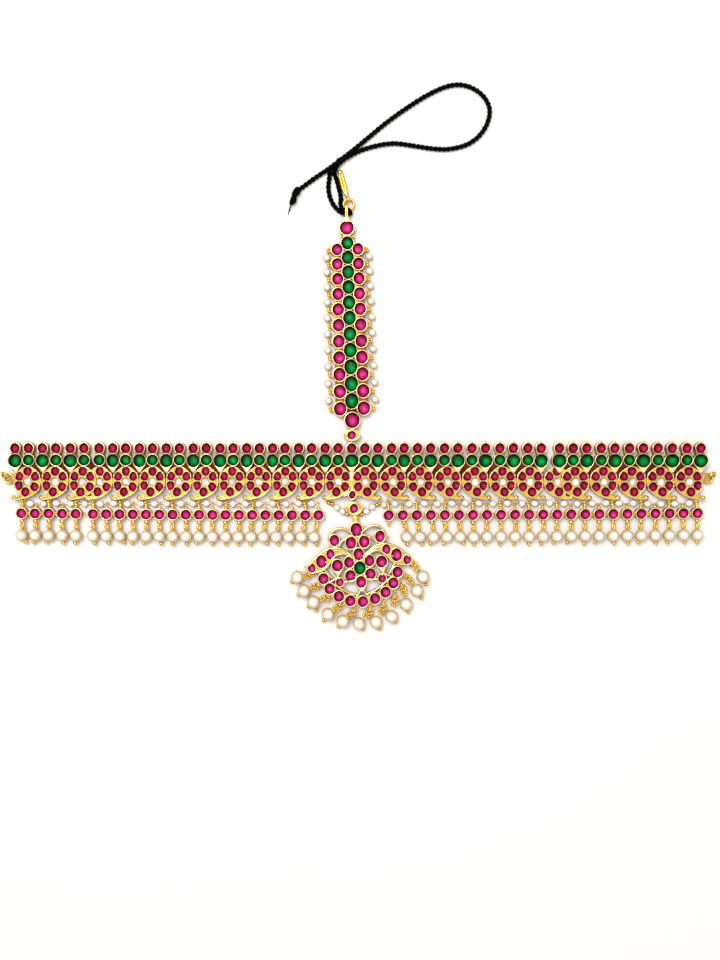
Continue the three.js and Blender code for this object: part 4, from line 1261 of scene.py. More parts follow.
@dataclass
class Band:
    """The forehead band: mango motifs under a row of green stones and a row of rubies.

    Attributes:
        height: Height of the settings' rims, in millimetres.
        rise: A motif's rise above its middle.
        small_green: Diameter of the small green stones' settings.
        small_row: Their row.
        large_row: The large green stones' row.
        ruby_row: The top rubies' row.
    """

    height: float = 3.8
    rise: float = 6.15
    gap: float = 0.15
    small_green: float = 5.1
    small_row: float = 8.6
    large_row: float = 8.28
    large_rise: float = 2.95
    large_tip: float = 1.95
    ruby_row: float = 13.35
    nominal_half: float = 5.21
    nominal_large: float = 2.76
    motif_outline: tuple[Point, ...] = (
        (0.05, 1.0), (0.48, 0.87), (0.86, 0.52), (1.0, 0.1), (0.96, -0.28), (0.72, -0.68), (0.25, -0.98),
        (-0.4, -1.15), (-0.98, -1.17), (-1.0, -0.99), (-0.7, -0.96), (-0.62, -0.78), (-0.84, -0.56),
        (-1.0, -0.12), (-0.98, 0.2), (-0.82, 0.56), (-0.42, 0.88),
    )
    motif_stones: tuple[tuple[float, float, float], ...] = (
        (0.15, 4.1, 0.1), (3.15, 2.1, -0.5), (2.85, -2.15, 0.45), (-0.7, -4.15, -0.1), (-3.3, -1.65, -0.35),
        (-3.1, 2.1, 0.35),
    )

    def model_motif(self) -> bpy.types.Object:
        """Models one mango motif of the left half, round its own middle."""
        shape = rounded([(x * self.nominal_half, y * self.rise) for x, y in self.motif_outline], 3)
        body = plate(shape, 0.0, self.height - 0.12)
        with editing(body):
            bpy.ops.mesh.inset(thickness=0.38 * MM)
            bpy.ops.mesh.extrude_region_move(TRANSFORM_OT_translate={"value": (0, 0, -0.5 * MM)})
        ease_rim(body, self.height - 0.12, 0.14)
        parts = [dress(body, Finishes.band_gold)]
        cell = set_stone(oval(3.7, 4.2, 22), (3.26, 3.76), 2.4, self.height, Tint.DEEP_RUBY,
                         metal=Finishes.band_gold)
        for x, y, turn in self.motif_stones:
            parts.append(copy_at(cell, x, y, 0.0, turn))
        discard([cell])
        hexagon = [(1.9 * math.sin(FULL_TURN * k / 6), 2.1 * math.cos(FULL_TURN * k / 6)) for k in range(6)]
        parts.append(set_stone(rounded(hexagon[::-1], 3), (3.3, 3.7), 2.4, self.height + 0.02, Tint.WHITE,
                               metal=Finishes.band_gold))
        for x, y in ((1.9, 3.75), (-1.7, 3.8), (4.15, 0.0), (-4.2, 0.25), (1.3, -3.95), (-2.55, -3.75)):
            parts.append(grain(0.75, x, y, self.height - 0.4))
        parts.append(grain(2.0, -5.4, -6.5, 2.95))
        parts.append(bent_wire([(-2.6, -6.5, 3.1), (-4.0, -6.6, 3.0), (-5.3, -6.5, 2.5)], 1.45))
        parts.append(bent_wire([(3.7, -3.6, 3.3), (2.2, -5.4, 3.4), (-0.6, -6.5, 3.4), (-3.6, -6.9, 3.2)], 0.62))
        return join(parts)

    def model_top_ruby(self) -> bpy.types.Object:
        """Models one ruby of the top row, in its pointed setting."""
        outline = drawn_out(4.6, 4.5, 0.35, 1.0)
        body = set_stone(outline, (3.75, 3.95), 0.0, self.height, Tint.DEEP_RUBY, (0.0, -0.05),
                         Finishes.band_gold)
        skirt = plate(rounded([(-1.5, -1.0), (-1.6, -2.5), (1.6, -2.5), (1.5, -1.0)], 2), 0.0, 3.0)
        ease_rim(skirt, 3.0)
        return join([body, dress(skirt, Finishes.band_gold), grain(1.0, 0.0, 2.3, self.height - 0.3)])

    def model_small_green(self) -> bpy.types.Object:
        """Models one small green stone."""
        size = self.small_green
        return set_stone(oval(size, size), (4.4, 4.4), 0.0, self.height, Tint.EMERALD, metal=Finishes.band_gold)

    def model_large_green(self) -> bpy.types.Object:
        """Models one large green stone, in its pointed setting."""
        width = 2 * self.nominal_large
        outline = drawn_out(width, 2 * self.large_rise, self.large_tip, -1.0)
        stone = (width - 0.6, 2 * self.large_rise - 0.55)
        body = set_stone(outline, stone, 0.0, self.height, Tint.EMERALD, (0.0, 0.05), Finishes.band_gold)
        leaf = plate([(-0.75, -3.2), (0.0, -4.45), (0.75, -3.2), (0.0, -2.95)], 3.0, self.height + 0.12)
        ease_rim(leaf, self.height + 0.12, 0.1)
        return join([body, dress(leaf, Finishes.band_gold)])

    def seam_fill(self, x: float, width: float, top: float) -> bpy.types.Object:
        """Models the dark red plate that shows between the green stones and a motif.

        Args:
            x: Its middle along the band, in millimetres.
            width: Its width.
            top: Height of its face.

        Returns:
            The lac.
        """
        fill = plate([(x - 0.5 * width, -0.6), (x + 0.5 * width, -0.6), (x + 0.5 * width, 7.6),
                      (x - 0.5 * width, 7.6)], 0.0, top)
        ease_rim(fill, top)
        return dress(fill, Finishes.seam_dark)

    def unit(self, half: BandHalf, number: int) -> list[bpy.types.Object]:
        """Sets the pieces of one unit.

        Args:
            half: The half of the band.
            number: The unit's number.

        Returns:
            The pieces.
        """
        x = half.motif_x(number)
        width = 0.5 * (half.pitch(number) - 0.2) / self.nominal_half
        covered = number == half.inner_count
        low = 0.8 if covered else 1.0
        motif = copy_at(self.motif, x, 0.0, 0.0, 0.0, (-half.side * width, 1.0, low))
        pieces = [motif]
        # The lowered motif takes the gold whose painted shade and painted highlight begin lower, to match its lower
        # faces.
        if covered:
            for slot, metal in enumerate(motif.data.materials):
                if metal == Finishes.band_gold:
                    motif.data.materials[slot] = Finishes.low_gold
        if number not in half.bare:
            small = half.green_x(number)
            pieces.append(copy_at(self.small, small, self.small_row))
            pieces.append(copy_at(self.ruby, small, self.ruby_row))
            pieces.append(self.seam_fill(x, half.pitch(number) - 0.15, 2.25 if covered else 2.5))
        sides = [True] if number not in half.no_large else []
        sides += [False] if number in half.two_large else []
        for outward in sides:
            place, half_width = half.large_green(number, outward, self.small_green, self.gap)
            share = half_width / self.nominal_large
            pieces.append(copy_at(self.large, place, self.large_row, 0.0, 0.0, (share, 1.0, 1.0)))
            pieces.append(copy_at(self.ruby, place, self.ruby_row))
        return pieces

    def centre(self) -> None:
        """Builds the fused middle of the band, with its small ruby in a diamond."""
        pieces = self.unit(LEFT, 1) + self.unit(RIGHT, 1)
        share = (LEFT.first - 0.5 * self.small_green + 0.1) / self.nominal_large
        pieces.append(copy_at(self.large, 0.0, self.large_row, 0.0, 0.0, (share, 1.0, 1.0)))
        pieces.append(copy_at(self.ruby, 0.0, self.ruby_row))
        diamond = rounded([(0.0, 2.5), (-1.35, 1.1), (-2.0, 0.0), (-1.3, -1.2), (0.0, -2.4), (1.3, -1.2), (2.0, 0.0),
                           (1.35, 1.1)], 2)
        ruby = set_stone(diamond, (2.6, 3.1), 0.0, self.height, Tint.DEEP_RUBY, metal=Finishes.band_gold)
        pieces.append(copy_at(ruby, 0.25, -5.35))
        discard([ruby])
        strip = plate(rounded([(-0.55, -3.2), (0.55, -3.2), (0.42, 1.0), (0.8, 3.8), (-0.8, 3.8), (-0.42, 1.0)], 2),
                      0.0, 3.55)
        ease_rim(strip, 3.55)
        pieces.append(dress(strip, Finishes.gold))
        wings = plate(rounded([(-3.9, -6.7), (-1.2, -5.3), (0.25, -7.9), (1.7, -5.3), (4.1, -6.7), (1.6, -4.0),
                               (-1.3, -4.0)], 2), 0.0, 3.3)
        ease_rim(wings, 3.3)
        pieces.append(dress(wings, Finishes.gold))
        finish_piece("band_centre_dressed", pieces, ["band_centre"])

    def end_ear(self, half: BandHalf) -> bpy.types.Object:
        """Models the upright ear that an end ring hangs in."""
        ear = wire_ring(2.8, 0.6, 14, 6)
        ear.data.transform(Matrix.Rotation(math.pi / 2, 4, "X"))
        edge = half.motif_x(half.count()) + half.side * (0.5 * (half.outer_pitch - 0.2) + 0.7)
        ear.data.transform(Matrix.Translation((edge * MM, 1.2 * MM, 1.6 * MM)))
        return ear

    def build(self) -> None:
        """Builds the whole band."""
        self.motif = self.model_motif()
        self.ruby = self.model_top_ruby()
        self.small = self.model_small_green()
        self.large = self.model_large_green()
        self.centre()
        for half in (LEFT, RIGHT):
            for number in range(2, half.count() + 1):
                name = f"band_unit_{half.name}_{number:02d}"
                pieces = self.unit(half, number)
                if number == half.count():
                    pieces.append(self.end_ear(half))
                finish_piece(f"{name}_dressed", pieces, [name])
        discard([self.motif, self.ruby, self.small, self.large])


@dataclass
class FringeHalf:
    """Where the collets of one half of the fringe lie, counted from the middle outwards."""

    side: int
    name: str
    start: float
    inner_count: int
    inner_pitch: float
    seam_step: float
    outer_count: int
    outer_pitch: float
    pearls_from: int
    hangers: tuple[int, ...]

    def x(self, index: int) -> float:
        """Gives a collet's place along the band."""
        inner = min(index, self.inner_count - 1)
        distance = self.start + inner * self.inner_pitch
        if index > inner:
            distance += self.seam_step + (index - inner - 1) * self.outer_pitch
        return self.side * distance

    def count(self) -> int:
        """Gives how many collets the half has."""
        return self.inner_count + self.outer_count


LEFT_FRINGE = FringeHalf(
    -1, "left", 13.3, 18, 5.31, 6.92, 5, 5.43, 0, (1, 3, 5, 7, 9, 11, 13, 15, 17, 18, 20, 22)
)
RIGHT_FRINGE = FringeHalf(
    1, "right", 14.8, 18, 5.62, 5.62, 5, 5.62, 1, (0, 2, 4, 6, 8, 10, 12, 14, 16, 18, 20, 22)
)


@dataclass
class Fringe:
    """Ruby collets with a pearl drop each, under a string of seed pearls.

    Attributes:
        row: The collets' row at the ends of the band, in millimetres.
        sag: How much lower the row lies in the middle.
        reach: From the middle to an end.
        hang: From a collet down to its pearl.
    """

    row: float = -12.7
    sag: float = 0.8
    reach: float = 135.0
    height: float = 3.4
    collet: float = 4.75
    stone: float = 3.95
    hang: float = 8.75
    pearl: float = 4.95
    seed_row: float = -8.85
    lean: float = 1.8
    lean_step: float = 0.25

    def y(self, x: float) -> float:
        """Gives the row at a place along the band."""
        return self.row - self.sag * max(0.0, 1 - (x / self.reach) ** 2)

    def model_link(self) -> bpy.types.Object:
        """Models a drop's ball and twisted loop, from the collet's middle down."""
        parts = [grain(1.95, 0.0, -3.1, 2.6), grain(1.3, 0.45, -4.6, 2.9), grain(1.25, -0.45, -5.15, 2.8)]
        for turn, y in ((0.5, -4.4), (-0.8, -5.45)):
            loop = wire_ring(2.3, 0.8, 12, 6)
            loop.data.transform(Matrix.Rotation(turn, 4, "Y") @ Matrix.Diagonal((0.85, 1.0, 1.0, 1.0)))
            loop.data.transform(Matrix.Translation((0.0, y * MM, 2.5 * MM)))
            parts.append(loop)
        coil = [
            (0.62 * math.cos(1.7 * k), -5.5 - 0.16 * k, 2.6 + 0.5 * math.sin(1.7 * k)) for k in range(8)
        ]
        parts.append(bent_wire(coil, 0.5, None, 1, 2))
        return join(parts)

    def model_riser(self) -> bpy.types.Object:
        """Models the loops that join a collet to the motif above it."""
        parts = [grain(1.75, 0.0, 3.7, 2.4), grain(1.35, -0.25, 4.9, 2.5)]
        for turn, y in ((0.7, 4.6), (-0.5, 5.5)):
            loop = wire_ring(2.1, 0.66, 12, 6)
            loop.data.transform(Matrix.Rotation(turn, 4, "Y") @ Matrix.Diagonal((0.75, 1.0, 1.0, 1.0)))
            loop.data.transform(Matrix.Translation((0.0, y * MM, 1.7 * MM)))
            parts.append(loop)
        return join(parts)

    def build_half(self, half: FringeHalf) -> None:
        """Builds the collets, drops and seed pearls of one half.

        Args:
            half: The half.
        """
        rng = random.Random(SEED + half.side)
        pieces = []
        seeds = []
        for index in range(half.count()):
            x = half.x(index)
            y = self.y(x)
            pieces.append(copy_at(self.ruby, x, y))
            pieces.append(copy_at(self.ball, x + rng.uniform(-0.15, 0.15), y + 2.85, 2.4, 0.0, (1.7, 1.6, 1.6)))
            if index in half.hangers:
                pieces.append(copy_at(self.riser, x, y, 0.0, rng.uniform(-0.08, 0.08)))
            if index:
                before = half.x(index - 1)
                middle = 0.5 * (before + x)
                row = 0.5 * (self.y(before) + y)
                for step in (-0.42, 0.42):
                    pieces.append(copy_at(self.ball, middle, row + step, 2.7, 0.0, (1.05, 0.95, 1.0)))
                jitter = rng.uniform(-0.35, 0.35)
                shape = (1.16 + rng.uniform(-0.08, 0.12), 1.14, 0.92)
                seeds.append(copy_at(self.seed, middle + jitter, self.seed_row + rng.uniform(-0.2, 0.2), 1.15,
                                     rng.uniform(-0.4, 0.4), shape))
            lean = max(0.0, self.lean - self.lean_step * index)
            turn = half.side * math.atan2(lean, self.hang)
            if index < half.pearls_from:
                pieces.append(copy_at(self.ball, x, y - 3.2, 2.4, 0.0, (1.5, 1.5, 1.5)))
                pieces.append(copy_at(self.ball, x, y - 4.2, 2.4, 0.0, (1.1, 1.1, 1.1)))
                continue
            pieces.append(copy_at(self.link, x, y, 0.0, turn + rng.uniform(-0.05, 0.05),
                                  (rng.choice((-1.0, 1.0)), 1.0, 1.0)))
            centre = x + half.side * lean
            pieces.append(copy_at(self.drop, centre, y - self.hang, 0.0, rng.uniform(-0.5, 0.5)))
            tip = rng.uniform(-1.5, 1.5)
            down = 3.0 - 0.2 * tip * tip
            pieces.append(copy_at(self.ball, centre + tip, y - self.hang - down, 1.9, 0.0, (1.95, 1.95, 1.95)))
        thread = [(half.x(index), self.seed_row + 0.25 * (-1) ** index, 1.3) for index in range(half.count())]
        seeds.append(bent_wire(thread, 0.4, None, 1, 2))
        for x, y, _ in thread:
            seeds.append(copy_at(self.ball, x, y, 1.6, 0.0, (1.3, 1.2, 1.2)))
        finish_piece(f"fringe_{half.name}_dressed", pieces, [f"fringe_{half.name}"])
        name = f"seed_pearl_string_{half.name}"
        finish_piece(f"{name}_dressed", seeds, [name])

    def build(self) -> None:
        """Builds both halves."""
        size = self.collet
        self.ruby = set_stone(oval(size, size), (self.stone, self.stone), 0.0, self.height, Tint.RUBY)
        self.ball = grain(0.9)
        self.link = self.model_link()
        self.riser = self.model_riser()
        self.drop = pearl(self.pearl, 0.0, 0.0, 0.5 * self.pearl)
        self.seed = pearl(2.55, 0.0, 0.0, 0.0, False)
        for half in (LEFT_FRINGE, RIGHT_FRINGE):
            self.build_half(half)
        discard([self.ruby, self.ball, self.link, self.riser, self.drop, self.seed])


@dataclass
class Strip:
    """The strip along the parting, upright in its own frame from its lowest ruby."""

    height: float = 3.4
    foot: Point = (0.25, 24.5)
    lean: float = 0.028
    rows: int = 11
    pitch: Point = (6.9, 5.75)
    foot_step: float = 7.75
    head_step: float = 6.1
    foot_size: Point = (6.7, 7.0)
    head_size: float = 6.4
    green: Point = (6.0, 5.4)
    ruby: Point = (5.8, 5.0)
    pearl: float = 3.1

    def row(self, number: int) -> dict[str, float]:
        """Gives the sizes and places of one row.

        Args:
            number: The row, from the foot.

        Returns:
            Its named sizes, in millimetres.
        """
        share = number / (self.rows - 1)
        y = self.foot_step
        for step in range(number):
            y += self.pitch[0] + (self.pitch[1] - self.pitch[0]) * step / (self.rows - 2)
        pitch = self.pitch[0] + (self.pitch[1] - self.pitch[0]) * share
        green = self.green[0] + (self.green[1] - self.green[0]) * share
        ruby = self.ruby[0] + (self.ruby[1] - self.ruby[0]) * share
        return {
            "y": y,
            "pitch": pitch,
            "green": green,
            "ruby": ruby,
            "ruby_x": 0.5 * (green + ruby) - 0.25 - 0.16 * ruby,
            "ruby_y": y - 0.44 * pitch,
        }

    def place(self) -> Matrix:
        """Gives where the strip's own frame lies in the jewel."""
        return Matrix.Translation((self.foot[0] * MM, self.foot[1] * MM, 0)) @ Matrix.Rotation(self.lean, 4, "Z")

    def cap_and_loop(self, head: float) -> list[bpy.types.Object]:
        """Models the cap and the upright loop above the top ruby.

        Args:
            head: The top ruby's upper edge.

        Returns:
            The pieces.
        """
        cap = plate(rounded([(-1.4, head - 0.9), (1.4, head - 0.9), (1.35, head + 0.6), (0.75, head + 1.35),
                             (-0.75, head + 1.35), (-1.35, head + 0.6)], 3), 0.0, 3.3)
        ease_rim(cap, 3.3, 0.5, 4)
        start, end = 106.35 - self.foot[1], 110.95 - self.foot[1]
        loop = bent_wire(
            [(0, start - 0.5, 0.3), (0, start + 1.5, 0.3), (0, end - 0.4, 0.3), (0, end + 0.35, 0.5),
             (0, end + 0.4, 1.7), (0, end + 0.3, 2.9), (0, end - 0.5, 3.1), (0, start + 1.5, 3.1),
             (0, start - 0.6, 3.05)], 0.62, None, 2, 5)
        side = copy_at(loop, 0.3)
        other = copy_at(loop, -0.3)
        discard([loop])
        return [dress(cap, Finishes.gold), side, other]

    def build(self) -> None:
        """Builds the strip and its two strings of pearls."""
        top = self.height
        head = self.row(self.rows - 1)["y"] + self.head_step
        sizes = self.foot_size
        pieces = [set_stone(oval(*sizes), (sizes[0] - 0.9, sizes[1] - 0.8), 0.0, top, Tint.RUBY)]
        upper = set_stone(oval(self.head_size, self.head_size), (5.55, 5.55), 0.0, top, Tint.RUBY)
        pieces.append(copy_at(upper, 0.0, head))
        discard([upper])
        nominal = self.row(0)
        green = set_stone(oval(nominal["green"], nominal["pitch"] + 0.1),
                          (nominal["green"] - 0.65, nominal["pitch"] - 0.6), 0.0, top, Tint.EMERALD)
        length = min(1.08 * nominal["ruby"], nominal["pitch"] - 0.15)
        ruby = set_stone(oval(nominal["ruby"], length), (nominal["ruby"] - 0.8, length - 0.8), 0.0, top - 0.05,
                         Tint.RUBY)
        ball = grain(1.45)
        loop = wire_ring(1.9, 0.6, 12, 6)
        bead = pearl(self.pearl, 0.0, 0.0, 0.5 * self.pearl, True)
        strings: dict[int, list[bpy.types.Object]] = {-1: [], 1: []}
        rng = random.Random(SEED)
        for number in range(self.rows):
            row = self.row(number)
            share = row["green"] / nominal["green"]
            tall = (row["pitch"] + 0.1) / (nominal["pitch"] + 0.1)
            pieces.append(copy_at(green, 0.0, row["y"], 0.0, 0.0, (share, tall, 1.0)))
            for side in (-1, 1):
                share = row["ruby"] / nominal["ruby"]
                tall = min(1.08 * row["ruby"], row["pitch"] - 0.15) / length
                pieces.append(copy_at(ruby, side * row["ruby_x"], row["ruby_y"], 0.0, 0.0, (share, tall, 1.0)))
                edge = row["ruby_x"] + 0.5 * row["ruby"]
                for step in (-0.5, 0.5):
                    reach = edge + rng.uniform(-0.05, 0.15)
                    pieces.append(copy_at(ball, side * reach, row["ruby_y"] + step, 2.2))
                    pieces.append(copy_at(ball, side * (reach + 1.15), row["ruby_y"] + 0.9 * step, 1.9, 0.0,
                                          (0.9, 0.85, 0.9)))
                pieces.append(copy_at(loop, side * (edge + 0.9), row["ruby_y"], 1.5, rng.uniform(-0.2, 0.2)))
                if number < self.rows - 1:
                    ahead = self.row(number + 1)
                    middle = 0.5 * (row["ruby_y"] + ahead["ruby_y"])
                    out = 0.5 * (row["ruby_x"] + ahead["ruby_x"] + 0.5 * (row["ruby"] + ahead["ruby"]))
                    strings[side].append(copy_at(bead, side * (out + 0.25 + 0.5 * self.pearl), middle, 0.0,
                                                 rng.uniform(-0.4, 0.4)))
        pieces += self.fill(head)
        pieces += self.cap_and_loop(head + 0.5 * self.head_size)
        finish_piece("parting_strip_dressed", pieces, ["parting_strip"], self.place())
        for side, name in ((-1, "left"), (1, "right")):
            finish_piece(f"strip_pearls_{name}_dressed", strings[side], [f"strip_pearls_{name}"],
                         self.place())
        discard([green, ruby, ball, loop, bead])

    def fill(self, head: float) -> list[bpy.types.Object]:
        """Models what shows between the settings: a dark red plate down the middle, gold between the side rubies.

        Args:
            head: The top ruby's middle.

        Returns:
            The pieces.
        """
        top = self.row(self.rows - 1)
        low = self.row(0)
        spine = plate([(-2.2, 2.0), (2.2, 2.0), (2.0, head - 3.6), (-2.0, head - 3.6)], 0.0, 2.5)
        ease_rim(spine, 2.5)
        neck = plate(oval(3.4, 1.9, 16, 0.0, head - 3.35), 0.0, 3.0)
        ease_rim(neck, 3.0)
        parts = [dress(spine, Finishes.seam_dark), dress(neck, Finishes.gold)]
        for side in (-1, 1):
            parts.append(grain(1.3, side * 2.35, head - 3.35, 2.4))
            outline = [
                (side * 2.0, low["ruby_y"] - 0.6),
                (side * (low["ruby_x"] + 1.9), low["ruby_y"]),
                (side * (top["ruby_x"] + 1.6), top["ruby_y"]),
                (side * 1.8, top["ruby_y"] + 0.6),
            ]
            # The webs lie low, so the gold's height ramp paints them in the deep orange-brown of painted shade.
            web = plate(outline if side > 0 else outline[::-1], 0.0, 2.42)
            ease_rim(web, 2.42)
            parts.append(dress(web, Finishes.gold))
        return parts


@dataclass
class Links:
    """The eye-shaped link, the hook and the rings.

    Attributes:
        ring_place: Middle of the ring that the hook hangs in, in millimetres.
        hook_lean: The hook's lean about the upright axis.
    """

    ring_place: tuple[float, float, float] = (-1.2, 111.3, 1.65)
    ring_size: Point = (5.2, 1.0)
    hook_lean: float = 0.26
    hook_length: float = 10.0
    end_ring: Point = (4.6, 0.9)
    end_level: float = 1.6
    end_row: float = 1.2
    second_tilt: float = 1.0
    second_turn: float = 0.65
    second_step: float = 0.97

    def eye_link(self) -> None:
        """Builds the eye-shaped link with its ruby."""
        half, rise = 3.45, 2.38
        lens = [(half * x, rise * y * (1.0 - 0.32 * abs(x) ** 3)) for x, y in oval(2.0, 2.0, 32)]
        base = plate(lens, 0.0, 3.3)
        with editing(base):
            bpy.ops.mesh.inset(thickness=0.42 * MM)
            bpy.ops.mesh.extrude_region_move(TRANSFORM_OT_translate={"value": (0, 0, -0.45 * MM)})
        ease_rim(base, 3.3, 0.14)
        ruby = set_stone(oval(4.0, 3.95), (3.3, 3.3), 1.0, 3.45, Tint.RUBY)
        parts = [dress(base, Finishes.gold), ruby]
        for side in (-1, 1):
            parts.append(bent_wire([(side * 1.9, 0.75, 2.95), (side * 2.6, 0.0, 3.1), (side * 1.9, -0.75, 2.95)], 0.45))
            parts.append(grain(0.75, side * 2.75, 0.0, 2.95))
        parts.append(grain(1.3, -0.1, -rise - 0.05, 2.0))
        place = Matrix.Translation((0.0, EYE_LINK_ROW * MM, 0.0))
        finish_piece("eye_link_dressed", parts, ["eye_link"], place)

    def hook(self) -> None:
        """Builds the ring and the folded hook."""
        x, y, z = self.ring_place
        ring = wire_ring(*self.ring_size, 28, 10)
        seam = grain(1.25, 1.5, 1.45, 0.0)
        place = Matrix.Translation((x * MM, y * MM, z * MM))
        finish_piece("hook_ring_dressed", [ring, seam], ["hook_ring"], place)
        radius = 0.5 * (self.ring_size[0] - self.ring_size[1])
        eye = wire_ring(3.0, 0.7, 18, 8)
        eye.data.transform(Matrix.Rotation(math.pi / 2, 4, "Y"))
        start, end = 1.15, 1.26 + self.hook_length
        parts = [eye]
        for out, thick in ((-0.7, 0.86), (0.42, 1.35)):
            parts.append(bent_wire(
                [(0.2 * out, start, 0.3), (0.5 * out, start + 1.2, 0.25), (out, start + 2.6, 0.2),
                 (out, end - 1.8, 0.2), (0.85 * out, end - 0.9, 0.2), (0.4 * out, end - 0.3, 0.1)],
                thick, Finishes.wire, 3, 6))
        parts.append(bent_wire([(-0.55, start + 3.0, 0.2), (0.1, start + 2.5, 0.55), (0.7, start + 2.9, 0.3)], 0.5))
        parts.append(grain(2.2, 0.0, end - 0.1, 0.15))
        place = place @ Matrix.Rotation(self.hook_lean, 4, "Z") @ Matrix.Translation((0.0, radius * MM, 0.0))
        finish_piece("s_hook_dressed", parts, ["s_hook"], place)

    def end_rings(self, half: BandHalf) -> None:
        """Builds the two rings at one end of the band.

        Args:
            half: The half of the band.
        """
        radius = 0.5 * (self.end_ring[0] - self.end_ring[1])
        wire_x = half.motif_x(half.count()) + half.side * (0.5 * (half.outer_pitch - 0.2) + 0.7)
        first = wire_ring(*self.end_ring, 24, 8)
        place = Matrix.Translation(((wire_x + half.side * radius) * MM, self.end_row * MM, 0.0))
        lift = Matrix.Translation((0.0, 0.0, self.end_level * MM))
        finish_piece(f"end_ring_{half.name}_1_dressed", [first], [f"end_ring_{half.name}_1"], place @ lift)
        second = wire_ring(*self.end_ring, 24, 8)
        level = radius * math.sin(self.second_tilt) + 0.5 * self.end_ring[1]
        turned = Matrix.Rotation(half.side * self.second_turn, 4, "Z")
        step = Matrix.Translation((half.side * self.second_step * radius * MM, 0.0, level * MM))
        tilt = Matrix.Rotation(self.second_tilt, 4, "X")
        finish_piece(f"end_ring_{half.name}_2_dressed", [second], [f"end_ring_{half.name}_2"],
                     place @ turned @ step @ tilt)

    def build(self) -> None:
        """Builds all links."""
        self.eye_link()
        self.hook()
        self.end_rings(LEFT)
        self.end_rings(RIGHT)


@dataclass
class CentreDrop:
    """The ruby drop under the middle of the band, with its swags.

    Attributes:
        x: Its place along the band, in millimetres.
        y: Its row.
    """

    x: float = 0.9
    y: float = -10.85
    height: float = 3.5
    left_swag: tuple = ((-9.3, -8.6, 1.6), (-8.0, -9.0, 1.9), (-6.1, -10.4, 2.7), (-3.7, -12.1, 2.7),
                        (-1.9, -13.2, 1.7))
    right_swag: tuple = ((3.9, -13.3, 1.7), (5.8, -12.0, 2.7), (8.2, -10.2, 2.7), (10.2, -9.4, 1.8),
                         (11.2, -8.9, 1.3), (12.9, -9.4, 2.4))

    def body(self) -> None:
        """Builds the drop's petals and ruby."""
        outline = [(0.0, 2.8), (-1.4, 2.65), (-3.3, 1.45), (-3.6, 0.2), (-3.1, -1.1), (-1.7, -2.3), (0.0, -2.8),
                   (1.7, -2.3), (3.1, -1.1), (3.6, 0.2), (3.3, 1.45), (1.4, 2.65)]
        base = plate(rounded(outline, 3), 0.0, self.height - 0.2)
        with editing(base):
            bpy.ops.mesh.inset(thickness=0.45 * MM)
            bpy.ops.mesh.extrude_region_move(TRANSFORM_OT_translate={"value": (0, 0, -0.4 * MM)})
        ease_rim(base, self.height - 0.2, 0.14)
        ruby = set_stone(oval(4.1, 4.6), (3.2, 3.75), 1.2, self.height, Tint.RUBY, (0.0, 0.0))
        parts = [dress(base, Finishes.gold), ruby]
        for side in (-1, 1):
            parts.append(bent_wire([(side * 1.0, 2.1, 3.15), (side * 2.5, 1.3, 3.2), (side * 3.1, 0.2, 3.05),
                                    (side * 2.2, -1.2, 3.15), (side * 1.0, -2.3, 3.05)], 0.42))
            parts.append(bent_wire([(side * 2.1, 0.7, 3.2), (side * 2.8, 0.2, 3.2), (side * 2.0, -0.5, 3.2)], 0.34))
        parts.append(grain(1.5, 0.0, -2.6, 1.9))
        parts.append(grain(1.3, 0.0, 2.7, 1.9))
        place = Matrix.Translation((self.x * MM, self.y * MM, 0.0))
        finish_piece("centre_drop_dressed", parts, ["centre_drop"], place)

    def swag(self, name: str, beads: Sequence[tuple[float, float, float]]) -> None:
        """Builds one swag of seed pearls and gold balls.

        Args:
            name: Which swag.
            beads: Place and diameter of each bead, the small ones of gold.
        """
        parts = []
        for x, y, size in beads:
            small = size < 2.0
            parts.append(grain(size, x, y, 1.3) if small else pearl(size, x, y, 1.25, False))
        for (x, y, _), (next_x, next_y, _) in zip(beads, beads[1:]):
            parts.append(grain(0.95, 0.5 * (x + next_x), 0.5 * (y + next_y), 1.3))
        line = [(x, y, 1.3) for x, y, _ in beads]
        parts.append(bent_wire(line, 0.55, None, 1, 3))
        finish_piece(f"swag_{name}_dressed", parts, [f"swag_{name}"])

    def build(self) -> None:
        """Builds the drop and both swags."""
        self.body()
        self.swag("left", self.left_swag)
        self.swag("right", self.right_swag)


@dataclass
class PendantStone:
    """One stone of the pendant, off its axis twice, by shares of the half span and of the length."""

    across: float
    down: float
    wide: float
    long: float
    tint: Tint = Tint.RUBY


